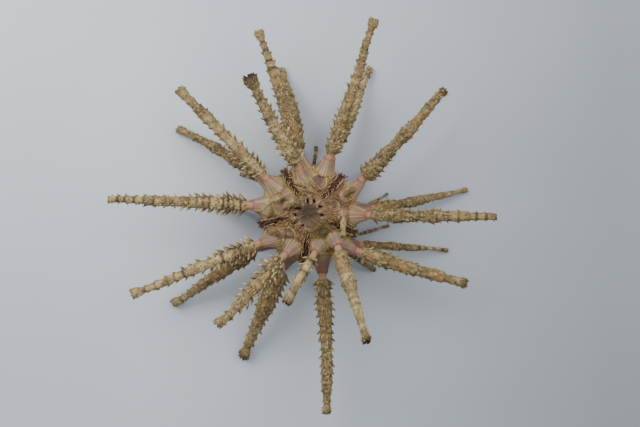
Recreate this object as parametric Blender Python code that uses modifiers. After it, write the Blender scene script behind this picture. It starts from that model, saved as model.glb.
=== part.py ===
"""A thorny pencil urchin at life size, resting on the tips of its lower spines.

Metres, +Z up. Seen from above, +X is to the right and +Y away from the viewer. The round
test of plates is divided as the animal is: five wide zones of plates that carry the big
spines, five narrow furrows between them, the disc of plates on top, and the mouth below.
"""
import math
import random
from collections import namedtuple

import bmesh
import bpy
from mathutils import Vector

MM = 0.001
GAP = 0.3 * MM
SEED = 11

# The test, a slightly flattened round box of plates.
TEST_RADIUS = 17.5 * MM
TEST_HALF_HEIGHT = 10.5 * MM
TEST_MIDDLE_Z = 18.0 * MM
TEST_SQUARENESS = 2.4
TEST_STEPS_ROUND = 40
TEST_STEPS_DOWN = 10
FURROW_DEPTH = 0.4 * MM
FURROW_HALF_ANGLE = math.radians(6.5)
ZONE_ANGLE = math.radians(72.0)
FIRST_ZONE = math.radians(84.5)
COLUMN_ANGLE = math.radians(14.5)

# The disc on top with the vent in its middle, and the skin round the mouth below.
TOP_RADIUS = 6.9 * MM
TOP_FLOOR_Z = 26.0 * MM
TOP_RISE = 0.5 * MM
VENT_RADIUS = 2.9 * MM
MOUTH_RADIUS = 7.5 * MM
MOUTH_FLOOR_Z = 10.0 * MM
MOUTH_RISE = 1.0 * MM
TOOTH_LENGTH = 3.4 * MM
TOOTH_WIDTH = 1.5 * MM
DISC_STEPS = 20

# Sizes of the five sorts of big spine. whorl is the distance from one ring of thorns to
# the next, foot and cone the radius and height of the sheath of small flat spines, whose
# height shrinks on seats near the top, over CONE_SPAN degrees, to CONE_LEAST of its own.
Form = namedtuple("Form", "collar shoulder neck crown thorn whorl foot cone")
BIG = Form(1.6 * MM, 2.1 * MM, 1.15 * MM, 1.8 * MM, 2.1 * MM, 3.6 * MM, 4.0 * MM, 5.2 * MM)
HALF = Form(1.35 * MM, 1.7 * MM, 1.3 * MM, 1.7 * MM, 1.6 * MM, 3.4 * MM, 3.2 * MM, 4.6 * MM)
ROD = Form(0.8 * MM, 0.95 * MM, 0.7 * MM, 0.9 * MM, 0.5 * MM, 6.0 * MM, 2.0 * MM, 2.6 * MM)
YOUNG = Form(0.9 * MM, 1.15 * MM, 0.9 * MM, 1.6 * MM, 0.8 * MM, 2.6 * MM, 2.3 * MM, 2.6 * MM)
MOUTH = Form(0.7 * MM, 0.8 * MM, 0.6 * MM, 0.45 * MM, 0.1 * MM, 3.0 * MM, 1.3 * MM, 1.2 * MM)

SPINE_SIDES = 6
COLLAR_END = 2.2 * MM
ROOT_DEPTH = 2.5 * MM
CROWN_HEIGHT = 2.4 * MM
CROWN_TEETH = 0.7 * MM
SHEATH_PLEATS = 5
SHEATH_SINK = 1.0 * MM
CONE_LEAST = 0.55
CONE_FIRST = 22.0
CONE_SPAN = 56.0
FLOOR_DIP = 0.35 * MM

# Every big spine: its zone and column, how far its seat lies from the top (degrees round the
# test's profile), and where its tip is: azimuth in degrees, reach from the test's axis and
# height in millimetres. A tip with no height rests on the floor.
Spine = namedtuple("Spine", "zone side seat azimuth reach height form")
SPINES = [
    Spine(1, -1, 70, 71.4, 72.6, 30.0, BIG),
    Spine(1, -1, 97, 67.6, 58.9, None, BIG),
    Spine(1, 0, 125, 84.5, 24.8, None, ROD),
    Spine(1, 1, 48, 113.6, 52.0, 38.5, BIG),
    Spine(1, 1, 76, 105.5, 68.6, 19.0, BIG),
    Spine(1, 1, 103, 100.8, 54.9, None, BIG),
    Spine(1, 1, 130, 101.0, 29.0, None, ROD),
    Spine(2, -1, 34, 178.6, 17.9, 34.0, YOUNG),
    Spine(2, -1, 62, 136.2, 64.2, 25.0, BIG),
    Spine(2, -1, 90, 147.2, 58.2, None, BIG),
    Spine(2, -1, 123, 150.0, 29.5, None, ROD),
    Spine(2, 1, 32, 133.7, 6.6, 33.0, YOUNG),
    Spine(2, 1, 66, 176.1, 72.4, 22.0, BIG),
    Spine(2, 1, 95, 172.2, 39.7, None, BIG),
    Spine(2, 1, 125, 174.0, 29.0, None, ROD),
    Spine(3, -1, 45, 202.9, 15.0, 32.0, YOUNG),
    Spine(3, -1, 66, 204.5, 70.0, 22.0, BIG),
    Spine(3, -1, 95, 213.4, 60.9, None, BIG),
    Spine(3, -1, 125, 208.0, 29.0, None, ROD),
    Spine(3, 1, 50, 230.5, 50.9, 33.0, BIG),
    Spine(3, 1, 78, 245.2, 58.8, None, BIG),
    Spine(3, 1, 118, 238.0, 31.0, None, ROD),
    Spine(4, -1, 41, 255.7, 32.6, 34.0, HALF),
    Spine(4, -1, 78, 275.0, 72.4, 20.0, BIG),
    Spine(4, -1, 115, 277.0, 33.0, None, ROD),
    Spine(4, 1, 47, 294.5, 48.6, 45.0, BIG),
    Spine(4, 1, 76, 336.0, 62.8, 18.0, BIG),
    Spine(4, 1.25, 103, 345.3, 54.1, None, BIG),
    Spine(4, 0.5, 130, 319.1, 32.1, None, ROD),
    Spine(4, 1.35, 124, 351.2, 29.8, None, ROD),
    Spine(5, -1, 42, 324.9, 14.3, 34.0, YOUNG),
    Spine(5, -1, 70, 358.9, 65.5, 36.5, BIG),
    Spine(5, -0.4, 96, 8.6, 59.3, None, BIG),
    Spine(5, -1, 122, 13.4, 30.0, None, ROD),
    Spine(5, 1, 53, 29.0, 17.7, 34.0, YOUNG),
    Spine(5, 1, 80, 42.3, 65.6, 26.0, BIG),
    Spine(5, 1, 118, 36.0, 27.0, None, ROD),
]

# The short spines nearest the mouth, one at the foot of each column.
MOUTH_SPINE_SEAT = 149.0
MOUTH_SPINE_REACH = 14.0
MOUTH_SPINE_HEIGHT = 3.4

# Small flat spines: the combs along the furrows, the tufts on the youngest plates and the
# ring on the disc round the vent.
SMALL_SINK = 0.8 * MM
COMB_LENGTH = 2.4 * MM
COMB_WIDTH = 0.9 * MM
COMB_THICKNESS = 0.6 * MM
COMB_ROWS = 6
COMB_FIRST = 30.0
COMB_LAST = 140.0
COMB_SPREAD = 0.5
COMB_CLEARANCE = 3.6 * MM
TUFT_COUNT = 5
TUFT_SEAT = 27.0
TUFT_LENGTH = 3.6 * MM
RING_COUNT = 10
RING_RADIUS = 3.6 * MM
RING_LENGTH = 2.4 * MM


def clear_scene():
    for thing in list(bpy.data.objects):
        bpy.data.objects.remove(thing, do_unlink=True)


def make_collection(name):
    collection = bpy.data.collections.new(name)
    bpy.context.scene.collection.children.link(collection)
    return collection


def make_material(name, colour, roughness):
    material = bpy.data.materials.new(name)
    material.use_nodes = True
    shader = material.node_tree.nodes["Principled BSDF"]
    shader.inputs["Base Color"].default_value = (*colour, 1.0)
    shader.inputs["Roughness"].default_value = roughness
    shader.inputs["Metallic"].default_value = 0.0
    return material


def make_object(name, mesh_data, collection, material=None):
    """Turn a bmesh into an object and free it."""
    bmesh.ops.recalc_face_normals(mesh_data, faces=mesh_data.faces)
    mesh = bpy.data.meshes.new(name)
    mesh_data.to_mesh(mesh)
    mesh_data.free()
    thing = bpy.data.objects.new(name, mesh)
    collection.objects.link(thing)
    if material:
        mesh.materials.append(material)
    return thing


def polar(azimuth, reach, height):
    return Vector((reach * math.cos(azimuth), reach * math.sin(azimuth), height))


def test_point(seat, azimuth, inset=0.0):
    """A point of the test's skin, seat degrees down its profile from the top."""
    angle = math.radians(seat)
    power = 2.0 / TEST_SQUARENESS
    reach = (TEST_RADIUS - inset) * abs(math.sin(angle)) ** power
    rise = (TEST_HALF_HEIGHT - inset) * abs(math.cos(angle)) ** power
    return polar(azimuth, reach, TEST_MIDDLE_Z + math.copysign(rise, math.cos(angle)))


def test_normal(seat, azimuth):
    step = 1.0
    down = test_point(seat + step, azimuth) - test_point(seat - step, azimuth)
    across = polar(azimuth + math.pi / 2, 1.0, 0.0)
    return across.cross(down).normalized() * -1.0


def seat_of_radius(radius):
    """How far down the profile, from the top, the test has this radius."""
    return math.degrees(math.asin((radius / TEST_RADIUS) ** (TEST_SQUARENESS / 2.0)))


def zone_middle(zone):
    return FIRST_ZONE + (zone - 1) * ZONE_ANGLE


def turned(name, profile, collection, steps):
    """A closed body from a profile of (radius, z) points, top to bottom."""
    outline = bmesh.new()
    points = [outline.verts.new((radius, 0.0, z)) for radius, z in profile]
    for first, second in zip(points, points[1:]):
        outline.edges.new((first, second))
    mesh = bpy.data.meshes.new(name)
    outline.to_mesh(mesh)
    outline.free()
    thing = bpy.data.objects.new(name, mesh)
    collection.objects.link(thing)
    screw = thing.modifiers.new("turn", "SCREW")
    screw.steps = steps
    screw.render_steps = steps
    screw.use_merge_vertices = True
    screw.merge_threshold = 1e-5
    depsgraph = bpy.context.evaluated_depsgraph_get()
    whole = bpy.data.meshes.new_from_object(thing.evaluated_get(depsgraph))
    thing.modifiers.clear()
    thing.data = whole
    return thing


def turned_test(inset, collection):
    """The whole test as one turned body, with a seat for the disc and for the mouth."""
    top_seat = seat_of_radius(TOP_RADIUS)
    low_seat = 180.0 - seat_of_radius(MOUTH_RADIUS)
    profile = [(0.0, TOP_FLOOR_Z), (TOP_RADIUS, TOP_FLOOR_Z)]
    for step in range(TEST_STEPS_DOWN + 1):
        seat = top_seat + (low_seat - top_seat) * step / TEST_STEPS_DOWN
        point = test_point(seat, 0.0, inset)
        profile.append((max(point.x, TOP_RADIUS), point.z))
    profile[2] = (TOP_RADIUS, profile[2][1])
    profile[-1] = (MOUTH_RADIUS, profile[-1][1])
    profile += [(MOUTH_RADIUS, MOUTH_FLOOR_Z), (0.0, MOUTH_FLOOR_Z)]
    return turned("turned_test", profile, collection, TEST_STEPS_ROUND)


def cut_away(body, point, normal):
    """Cut a bmesh with a plane, drop the side the normal points from, and close it."""
    geometry = body.verts[:] + body.edges[:] + body.faces[:]
    bmesh.ops.bisect_plane(
        body, geom=geometry, dist=1e-7, plane_co=point, plane_no=normal, clear_inner=True
    )
    rim = [edge for edge in body.edges if edge.is_boundary]
    if rim:
        bmesh.ops.holes_fill(body, edges=rim, sides=0)


def sector(name, whole, start, end, collection, material):
    """The part of a turned body between two azimuths, half a gap in from each."""
    body = bmesh.new()
    body.from_mesh(whole.data)
    first = Vector((-math.sin(start), math.cos(start), 0.0))
    second = Vector((math.sin(end), -math.cos(end), 0.0))
    cut_away(body, first * GAP / 2, first)
    cut_away(body, second * GAP / 2, second)
    return make_object(name, body, collection, material)


def loft(rings, thorns, root, tip):
    """A closed tube of triangles through rings of points, with a fan at each end.

    thorns holds, for a ring that has them, how far each point stands out. No diagonal
    runs to the longer of two neighbours, so that a thorn keeps a narrow foot.
    """
    body = bmesh.new()
    made = [[body.verts.new(point) for point in ring] for ring in rings]
    root_vert = body.verts.new(root)
    tip_vert = body.verts.new(tip)
    count = len(rings[0])
    for index in range(len(made) - 1):
        low, high = made[index], made[index + 1]
        above, below = thorns[index + 1], thorns[index]
        for k in range(count):
            after = (k + 1) % count
            a, b, c, d = low[k], low[after], high[after], high[k]
            rising = above[after] <= above[k] if above else not below or below[k] <= below[after]
            if rising:
                body.faces.new((a, b, c))
                body.faces.new((a, c, d))
            else:
                body.faces.new((a, b, d))
                body.faces.new((b, c, d))
    for k in range(count):
        body.faces.new((made[0][(k + 1) % count], made[0][k], root_vert))
        body.faces.new((made[-1][k], made[-1][(k + 1) % count], tip_vert))
    return body


def frame_along(way):
    """Two directions across a spine: level to its side, and the one over its back."""
    side = Vector((0.0, 0.0, 1.0)).cross(way)
    if side.length < 0.2:
        side = Vector((1.0, 0.0, 0.0)).cross(way)
    side.normalize()
    return side, way.cross(side)


def cone_height(spine):
    """How high a sheath stands, less on the younger plates nearer the top."""
    return spine.form.cone * min(1.0, max(CONE_LEAST, (spine.seat - CONE_FIRST) / CONE_SPAN))


def spine_body(seat, tip, spine, rng):
    """One big spine: collar, shaft ringed with whorls of thorns, and a toothed crown."""
    form = spine.form
    way = (tip - seat).normalized()
    length = (tip - seat).length
    side, back = frame_along(way)
    rings, thorns = [], []

    def add_ring(along, radius, out=None, lean=0.45):
        points = []
        for k in range(SPINE_SIDES):
            angle = 2.0 * math.pi * k / SPINE_SIDES
            across = side * math.cos(angle) + back * math.sin(angle)
            size = out[k] if out else 0.0
            points.append(seat + way * (along + lean * size) + across * (radius + size))
        rings.append(points)
        thorns.append(out)

    shaft_start = cone_height(spine) + COLLAR_END * form.collar / BIG.collar
    shaft_end = length - CROWN_HEIGHT * form.crown / BIG.crown
    whorls = max(2, round((shaft_end - shaft_start) / form.whorl))
    step = (shaft_end - shaft_start) / whorls
    add_ring(-ROOT_DEPTH, form.collar)
    add_ring(shaft_start - 0.2 * step, form.collar)
    for index in range(whorls):
        share = index / whorls
        core = form.shoulder + (form.neck - form.shoulder) * share
        thorn = form.thorn * (1.0 - 0.7 * share)
        out = [thorn * rng.uniform(0.05, 0.15) for _ in range(SPINE_SIDES)]
        for k in (0, SPINE_SIDES // 2):
            out[k] = thorn * rng.uniform(0.8, 1.15)
            small = (k + 1 + index % 2) % SPINE_SIDES
            out[small] = thorn * rng.uniform(0.3, 0.5)
        add_ring(shaft_start + step * (index + 0.35), core, out)
        add_ring(shaft_start + step * (index + 1), core * 0.9)
    teeth = [CROWN_TEETH * rng.uniform(0.6, 1.2) * (k % 2 == 0) for k in range(SPINE_SIDES)]
    add_ring(length - CROWN_TEETH, form.crown, teeth, lean=2.0)
    centre = seat + way * (length - 1.3 * CROWN_TEETH)
    return loft(rings, thorns, seat - way * ROOT_DEPTH, centre)


def resting_tip(seat, spine, seed):
    """Where a spine's tip lies when its lowest point is just under the floor."""
    azimuth = math.radians(spine.azimuth)
    reach = spine.reach * MM
    height = spine.form.crown
    for _ in range(4):
        tip = polar(azimuth, reach, height)
        trial = spine_body(seat, tip, spine, random.Random(seed))
        lowest = min(vert.co.z for vert in trial.verts)
        trial.free()
        height -= lowest + FLOOR_DIP
    return polar(azimuth, reach, height)


def sheath_radius(seat, spine):
    """How wide a sheath stands, less where the zone's edge is near."""
    margin = ZONE_ANGLE / 2 - FURROW_HALF_ANGLE - abs(spine.side) * COLUMN_ANGLE
    return min(spine.form.foot, seat.xy.length * math.tan(margin) - GAP)


def sheath_body(seat, normal, way, spine, rng):
    """The sheath of small flat spines round a big spine's foot, pointed at its rim."""
    form = spine.form
    cone = cone_height(spine)
    radius = sheath_radius(seat, spine)
    side, back = frame_along(way)
    foot_side = (side - normal * side.dot(normal)).normalized()
    foot_back = normal.cross(foot_side)
    count = 2 * SHEATH_PLEATS
    foot, top, out = [], [], []
    for k in range(count):
        angle = 2.0 * math.pi * k / count
        ridge = k % 2 == 0
        fold = 1.0 if ridge else 0.86
        lift = cone * (rng.uniform(0.95, 1.08) if ridge else 0.82)
        across = foot_side * math.cos(angle) + foot_back * math.sin(angle)
        foot.append(seat + across * radius * fold - normal * SHEATH_SINK)
        across = side * math.cos(angle) + back * math.sin(angle)
        top.append(seat + across * form.collar * 1.25 * fold + way * lift)
        out.append(float(ridge))
    middle = seat + way * cone * 0.6
    return loft([foot, top], [None, out], seat - normal * 1.5 * SHEATH_SINK, middle)


def small_spine(foot, way, across, length, width, thickness):
    """A small flat spine, square in section, narrowing to its tip."""
    way = way.normalized()
    across = (across - way * across.dot(way)).normalized()
    flat = way.cross(across)
    rings = []
    for along, share in ((-SMALL_SINK, 1.0), (length, 0.5)):
        half = across * width * share / 2
        thick = flat * thickness * share / 2
        centre = foot + way * along
        rings.append([centre + half + thick, centre - half + thick,
                      centre - half - thick, centre + half - thick])
    return loft(rings, [None, None], foot - way * SMALL_SINK, foot + way * length)


def largest_shell(body):
    """Keep the largest closed surface of a bmesh and drop the rest."""
    left = set(body.faces)
    shells = []
    while left:
        stack = [left.pop()]
        shell = []
        while stack:
            face = stack.pop()
            shell.append(face)
            for edge in face.edges:
                for other in edge.link_faces:
                    if other in left:
                        left.remove(other)
                        stack.append(other)
        shells.append(shell)
    shells.sort(key=lambda shell: sum(face.calc_area() for face in shell))
    dropped = [face for shell in shells[:-1] for face in shell]
    if dropped:
        bmesh.ops.delete(body, geom=dropped, context="FACES")


def join(base, pieces, collection):
    """Fuse closed pieces with the body that they grow from, in one union."""
    union = base.modifiers.new("join", "BOOLEAN")
    union.operation = "UNION"
    union.operand_type = "COLLECTION"
    union.collection = pieces
    union.solver = "EXACT"
    depsgraph = bpy.context.evaluated_depsgraph_get()
    joined = bpy.data.meshes.new_from_object(base.evaluated_get(depsgraph))
    base.modifiers.clear()
    for piece in list(pieces.objects):
        bpy.data.objects.remove(piece, do_unlink=True)
    bpy.data.collections.remove(pieces)
    body = bmesh.new()
    body.from_mesh(joined)
    bmesh.ops.remove_doubles(body, verts=body.verts, dist=2e-6)
    bmesh.ops.dissolve_degenerate(body, edges=body.edges, dist=2e-6)
    bmesh.ops.triangulate(body, faces=body.faces)
    largest_shell(body)
    body.to_mesh(joined)
    body.free()
    base.data = joined
    return base


def seat_azimuth(spine):
    return zone_middle(spine.zone) + spine.side * COLUMN_ANGLE


def mouth_spines():
    rows = []
    for zone in range(1, 6):
        for side in (-1, 1):
            azimuth = math.degrees(zone_middle(zone) + side * COLUMN_ANGLE)
            rows.append(Spine(zone, side, MOUTH_SPINE_SEAT, azimuth, MOUTH_SPINE_REACH,
                              MOUTH_SPINE_HEIGHT, MOUTH))
    return rows


def placed_spines():
    """Each spine's seat and tip, worked out once for all that has to clear them."""
    placed = []
    for index, spine in enumerate(SPINES + mouth_spines()):
        azimuth = seat_azimuth(spine)
        seat = test_point(spine.seat, azimuth)
        if spine.height is None:
            tip = resting_tip(seat, spine, SEED + index)
        else:
            tip = polar(math.radians(spine.azimuth), spine.reach * MM, spine.height * MM)
        placed.append((spine, seat, tip, SEED + index))
    return placed


def build_zone(zone, whole, placed, collection, material):
    """One wide zone of plates, with its spines, their sheaths and the top tuft."""
    middle = zone_middle(zone)
    half = ZONE_ANGLE / 2 - FURROW_HALF_ANGLE
    name = f"interambulacrum_{zone}"
    base = sector(name, whole, middle - half, middle + half, collection, material)
    pieces = make_collection(f"pieces_{zone}")
    rng = random.Random(SEED * 10 + zone)
    for spine, seat, tip, seed in placed:
        if spine.zone != zone:
            continue
        body = spine_body(seat, tip, spine, random.Random(seed))
        if spine.height is None:
            cut_away(body, Vector((0.0, 0.0, 0.0)), Vector((0.0, 0.0, 1.0)))
        make_object("spine", body, pieces)
        normal = test_normal(spine.seat, seat_azimuth(spine))
        way = (tip - seat).normalized()
        make_object("sheath", sheath_body(seat, normal, way, spine, rng), pieces)
    for index in range(TUFT_COUNT):
        azimuth = middle + half * 0.8 * (2.0 * index / (TUFT_COUNT - 1) - 1.0)
        foot = test_point(TUFT_SEAT, azimuth)
        lean = polar(azimuth, -rng.uniform(0.1, 0.5), 1.0)
        across = polar(azimuth + math.pi / 2, 1.0, 0.0)
        length = TUFT_LENGTH * rng.uniform(0.8, 1.1)
        body = small_spine(foot, lean, across, length, COMB_WIDTH, COMB_THICKNESS)
        make_object("tuft", body, pieces)
    return join(base, pieces, collection)


def distance_to_spine(point, placed):
    """The distance from a point to the nearest big spine's middle line."""
    nearest = TEST_RADIUS
    for _, seat, tip, _ in placed:
        along = tip - seat
        share = max(0.0, min(1.0, (point - seat).dot(along) / along.length_squared))
        nearest = min(nearest, (point - seat - along * share).length)
    return nearest


def build_furrow(index, whole, placed, collection, material):
    """One narrow furrow, with a comb of small spines along each side."""
    middle = FIRST_ZONE + (index - 0.5) * ZONE_ANGLE
    name = f"ambulacrum_{index}"
    base = sector(name, whole, middle - FURROW_HALF_ANGLE, middle + FURROW_HALF_ANGLE,
                  collection, material)
    pieces = make_collection(f"furrow_pieces_{index}")
    rng = random.Random(SEED * 20 + index)
    across = polar(middle + math.pi / 2, 1.0, 0.0)
    for row in range(COMB_ROWS):
        seat = COMB_FIRST + (COMB_LAST - COMB_FIRST) * row / (COMB_ROWS - 1)
        for side in (-1.0, 1.0):
            surface = test_point(seat + rng.uniform(-2.0, 2.0), middle, FURROW_DEPTH)
            half_width = surface.xy.length * math.tan(FURROW_HALF_ANGLE)
            foot = surface + across * side * COMB_SPREAD * half_width
            way = test_normal(seat, middle) - across * side * 0.35
            length = COMB_LENGTH * rng.uniform(0.8, 1.1)
            if distance_to_spine(foot + way.normalized() * length, placed) < COMB_CLEARANCE:
                continue
            body = small_spine(foot, way, across.cross(way), length, COMB_WIDTH,
                               COMB_THICKNESS)
            make_object("comb", body, pieces)
    return join(base, pieces, collection)


def build_top_disc(collection, material):
    """The disc of plates on top, its vent and the ring of small spines round that."""
    radius = TOP_RADIUS - GAP
    top = test_point(seat_of_radius(TOP_RADIUS), 0.0).z
    profile = [
        (0.0, top + 0.2 * MM),
        (VENT_RADIUS * 0.6, top + 0.1 * MM),
        (VENT_RADIUS, top + 0.3 * MM),
        (VENT_RADIUS * 1.2, top + TOP_RISE),
        (radius * 0.8, top + TOP_RISE),
        (radius, top),
        (radius, TOP_FLOOR_Z + GAP),
        (0.0, TOP_FLOOR_Z + GAP),
    ]
    base = turned("apical_disc", profile, collection, DISC_STEPS)
    base.data.materials.append(material)
    pieces = make_collection("disc_pieces")
    rng = random.Random(SEED * 30)
    for index in range(RING_COUNT):
        azimuth = FIRST_ZONE + (index + 0.5) * 2.0 * math.pi / RING_COUNT
        foot = polar(azimuth, RING_RADIUS, top + 0.2 * MM)
        way = polar(azimuth, -rng.uniform(0.2, 0.7), 1.0)
        across = polar(azimuth + math.pi / 2, 1.0, 0.0)
        length = RING_LENGTH * rng.uniform(0.8, 1.15)
        body = small_spine(foot, way, across, length, COMB_WIDTH, COMB_THICKNESS)
        make_object("ring", body, pieces)
    return join(base, pieces, collection)


def build_mouth(collection, material):
    """The skin round the mouth, and the tips of the five teeth in it."""
    radius = MOUTH_RADIUS - GAP
    low = test_point(180.0 - seat_of_radius(MOUTH_RADIUS), 0.0).z
    profile = [
        (0.0, MOUTH_FLOOR_Z - GAP),
        (radius, MOUTH_FLOOR_Z - GAP),
        (radius, low),
        (radius * 0.6, low - MOUTH_RISE * 0.6),
        (radius * 0.25, low - MOUTH_RISE),
        (0.0, low - MOUTH_RISE * 0.8),
    ]
    base = turned("peristome", profile, collection, DISC_STEPS)
    base.data.materials.append(material)
    pieces = make_collection("mouth_pieces")
    for zone in range(1, 6):
        azimuth = zone_middle(zone)
        foot = polar(azimuth, TOOTH_WIDTH, low)
        way = polar(azimuth, -0.28, -1.0)
        across = polar(azimuth + math.pi / 2, 1.0, 0.0)
        body = small_spine(foot, way, across, TOOTH_LENGTH, TOOTH_WIDTH, TOOTH_WIDTH * 0.6)
        make_object("tooth", body, pieces)
    return join(base, pieces, collection)


def centre_on_floor(nodes):
    """Hang the nodes from an empty that puts the origin under the middle of the whole."""
    corners = [vert.co for node in nodes for vert in node.data.vertices]
    middle = [(min(c[k] for c in corners) + max(c[k] for c in corners)) / 2 for k in (0, 1)]
    carrier = bpy.data.objects.new("urchin_carrier", None)
    bpy.context.scene.collection.objects.link(carrier)
    carrier.location = (-middle[0], -middle[1], 0.0)
    for node in nodes:
        node.parent = carrier


def main():
    clear_scene()
    urchin = make_collection("thorny_pencil_urchin")
    guides = make_collection("guides")
    spiny = make_material("spiny plates", (0.36, 0.25, 0.12), 0.75)
    furrow = make_material("furrow", (0.16, 0.06, 0.05), 0.6)
    disc = make_material("top disc", (0.30, 0.18, 0.13), 0.6)
    mouth = make_material("mouth skin", (0.35, 0.22, 0.16), 0.55)

    zone_whole = turned_test(0.0, guides)
    furrow_whole = turned_test(FURROW_DEPTH, guides)
    placed = placed_spines()
    nodes = [build_zone(zone, zone_whole, placed, urchin, spiny) for zone in range(1, 6)]
    nodes += [build_furrow(index, furrow_whole, placed, urchin, furrow) for index in range(1, 6)]
    nodes.append(build_top_disc(urchin, disc))
    nodes.append(build_mouth(urchin, mouth))
    for guide in (zone_whole, furrow_whole):
        bpy.data.objects.remove(guide, do_unlink=True)
    bpy.data.collections.remove(guides)
    centre_on_floor(nodes)


main()
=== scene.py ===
import math
import random
from collections import namedtuple

import bpy
import numpy as np
from mathutils import Matrix, Vector


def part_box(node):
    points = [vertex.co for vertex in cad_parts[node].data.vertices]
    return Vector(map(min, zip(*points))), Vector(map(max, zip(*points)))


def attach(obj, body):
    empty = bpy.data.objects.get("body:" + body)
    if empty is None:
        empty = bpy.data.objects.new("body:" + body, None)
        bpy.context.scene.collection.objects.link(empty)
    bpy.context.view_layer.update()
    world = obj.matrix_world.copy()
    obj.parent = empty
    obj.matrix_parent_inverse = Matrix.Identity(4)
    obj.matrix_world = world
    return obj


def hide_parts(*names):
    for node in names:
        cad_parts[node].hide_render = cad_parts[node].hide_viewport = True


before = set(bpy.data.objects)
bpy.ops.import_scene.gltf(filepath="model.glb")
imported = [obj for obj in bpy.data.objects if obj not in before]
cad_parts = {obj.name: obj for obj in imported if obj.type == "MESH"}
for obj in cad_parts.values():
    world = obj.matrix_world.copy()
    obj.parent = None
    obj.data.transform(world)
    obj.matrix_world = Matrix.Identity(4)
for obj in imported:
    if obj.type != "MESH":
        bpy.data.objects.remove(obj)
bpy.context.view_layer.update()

MM = 0.001
lowest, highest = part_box("peristome")
AXIS = Vector(((lowest.x + highest.x) / 2, (lowest.y + highest.y) / 2, 0.0))

# The test: a thin round box of chalky plates under a living skin. Five wide zones of plates
# carry the big spines, each seated on a boss in a shallow dish with a beaded yellow rim, and
# five sunken furrows run between the zones from the top disc down to the mouth.
TEST_RADIUS = 17.3 * MM
TEST_HALF_HEIGHT = 10.3 * MM
TEST_MIDDLE_Z = 18.0 * MM
TEST_SQUARENESS = 2.4
ZONE_ANGLE = math.radians(72.0)
FIRST_ZONE = math.radians(84.5)
COLUMN_ANGLE = math.radians(14.5)
FURROW_HALF_ANGLE = math.radians(6.5)
FURROW_DEPTH = 0.8 * MM
RIM_HEIGHT = 0.4 * MM
RIM_SHARE = 0.045
DISH_DEPTH = 0.2 * MM
BOSS_HEIGHT = 0.7 * MM
BOSS_SHARE = 0.24
PEBBLE_HEIGHT = 0.06 * MM
PEBBLE_SIZE = 1.6 * MM
TOP_RADIUS = 6.7 * MM
MOUTH_RADIUS = 7.3 * MM
POLE_SINK = 2.2 * MM
MOSS_SEAT = 22.0
MOSS_AZIMUTH = math.radians(-52.0)
MOSS_SIZE = 4.8 * MM
TEST_ROUND = 360
TEST_DOWN = 120
TEST_MAP_TOP = 0.99
TEST_MAP_BOTTOM = 0.01
POLE_PATCH = 0.002
CAP_PATCH = 0.004
ZONE_NODES = [f"interambulacrum_{zone}" for zone in range(1, 6)]
FURROW_NODES = [f"ambulacrum_{index}" for index in range(1, 6)]

# Sizes of the sorts of spine: shaft radii at the collar and above it, length of the longest
# thorns and of one whorl, and the foot radius and greatest height of the sheath.
Form = namedtuple("Form", "collar shoulder thorn whorl foot cone")
BIG = Form(1.5 * MM, 2.25 * MM, 2.7 * MM, 2.8 * MM, 4.0 * MM, 5.2 * MM)
HALF = Form(1.25 * MM, 1.6 * MM, 1.7 * MM, 2.5 * MM, 3.2 * MM, 4.6 * MM)
ROD = Form(0.6 * MM, 0.72 * MM, 0.4 * MM, 2.2 * MM, 2.0 * MM, 2.6 * MM)
YOUNG = Form(0.75 * MM, 0.95 * MM, 0.8 * MM, 1.6 * MM, 2.3 * MM, 2.6 * MM)
MOUTH = Form(0.62 * MM, 0.7 * MM, 0.25 * MM, 2.4 * MM, 1.3 * MM, 1.2 * MM)

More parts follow.
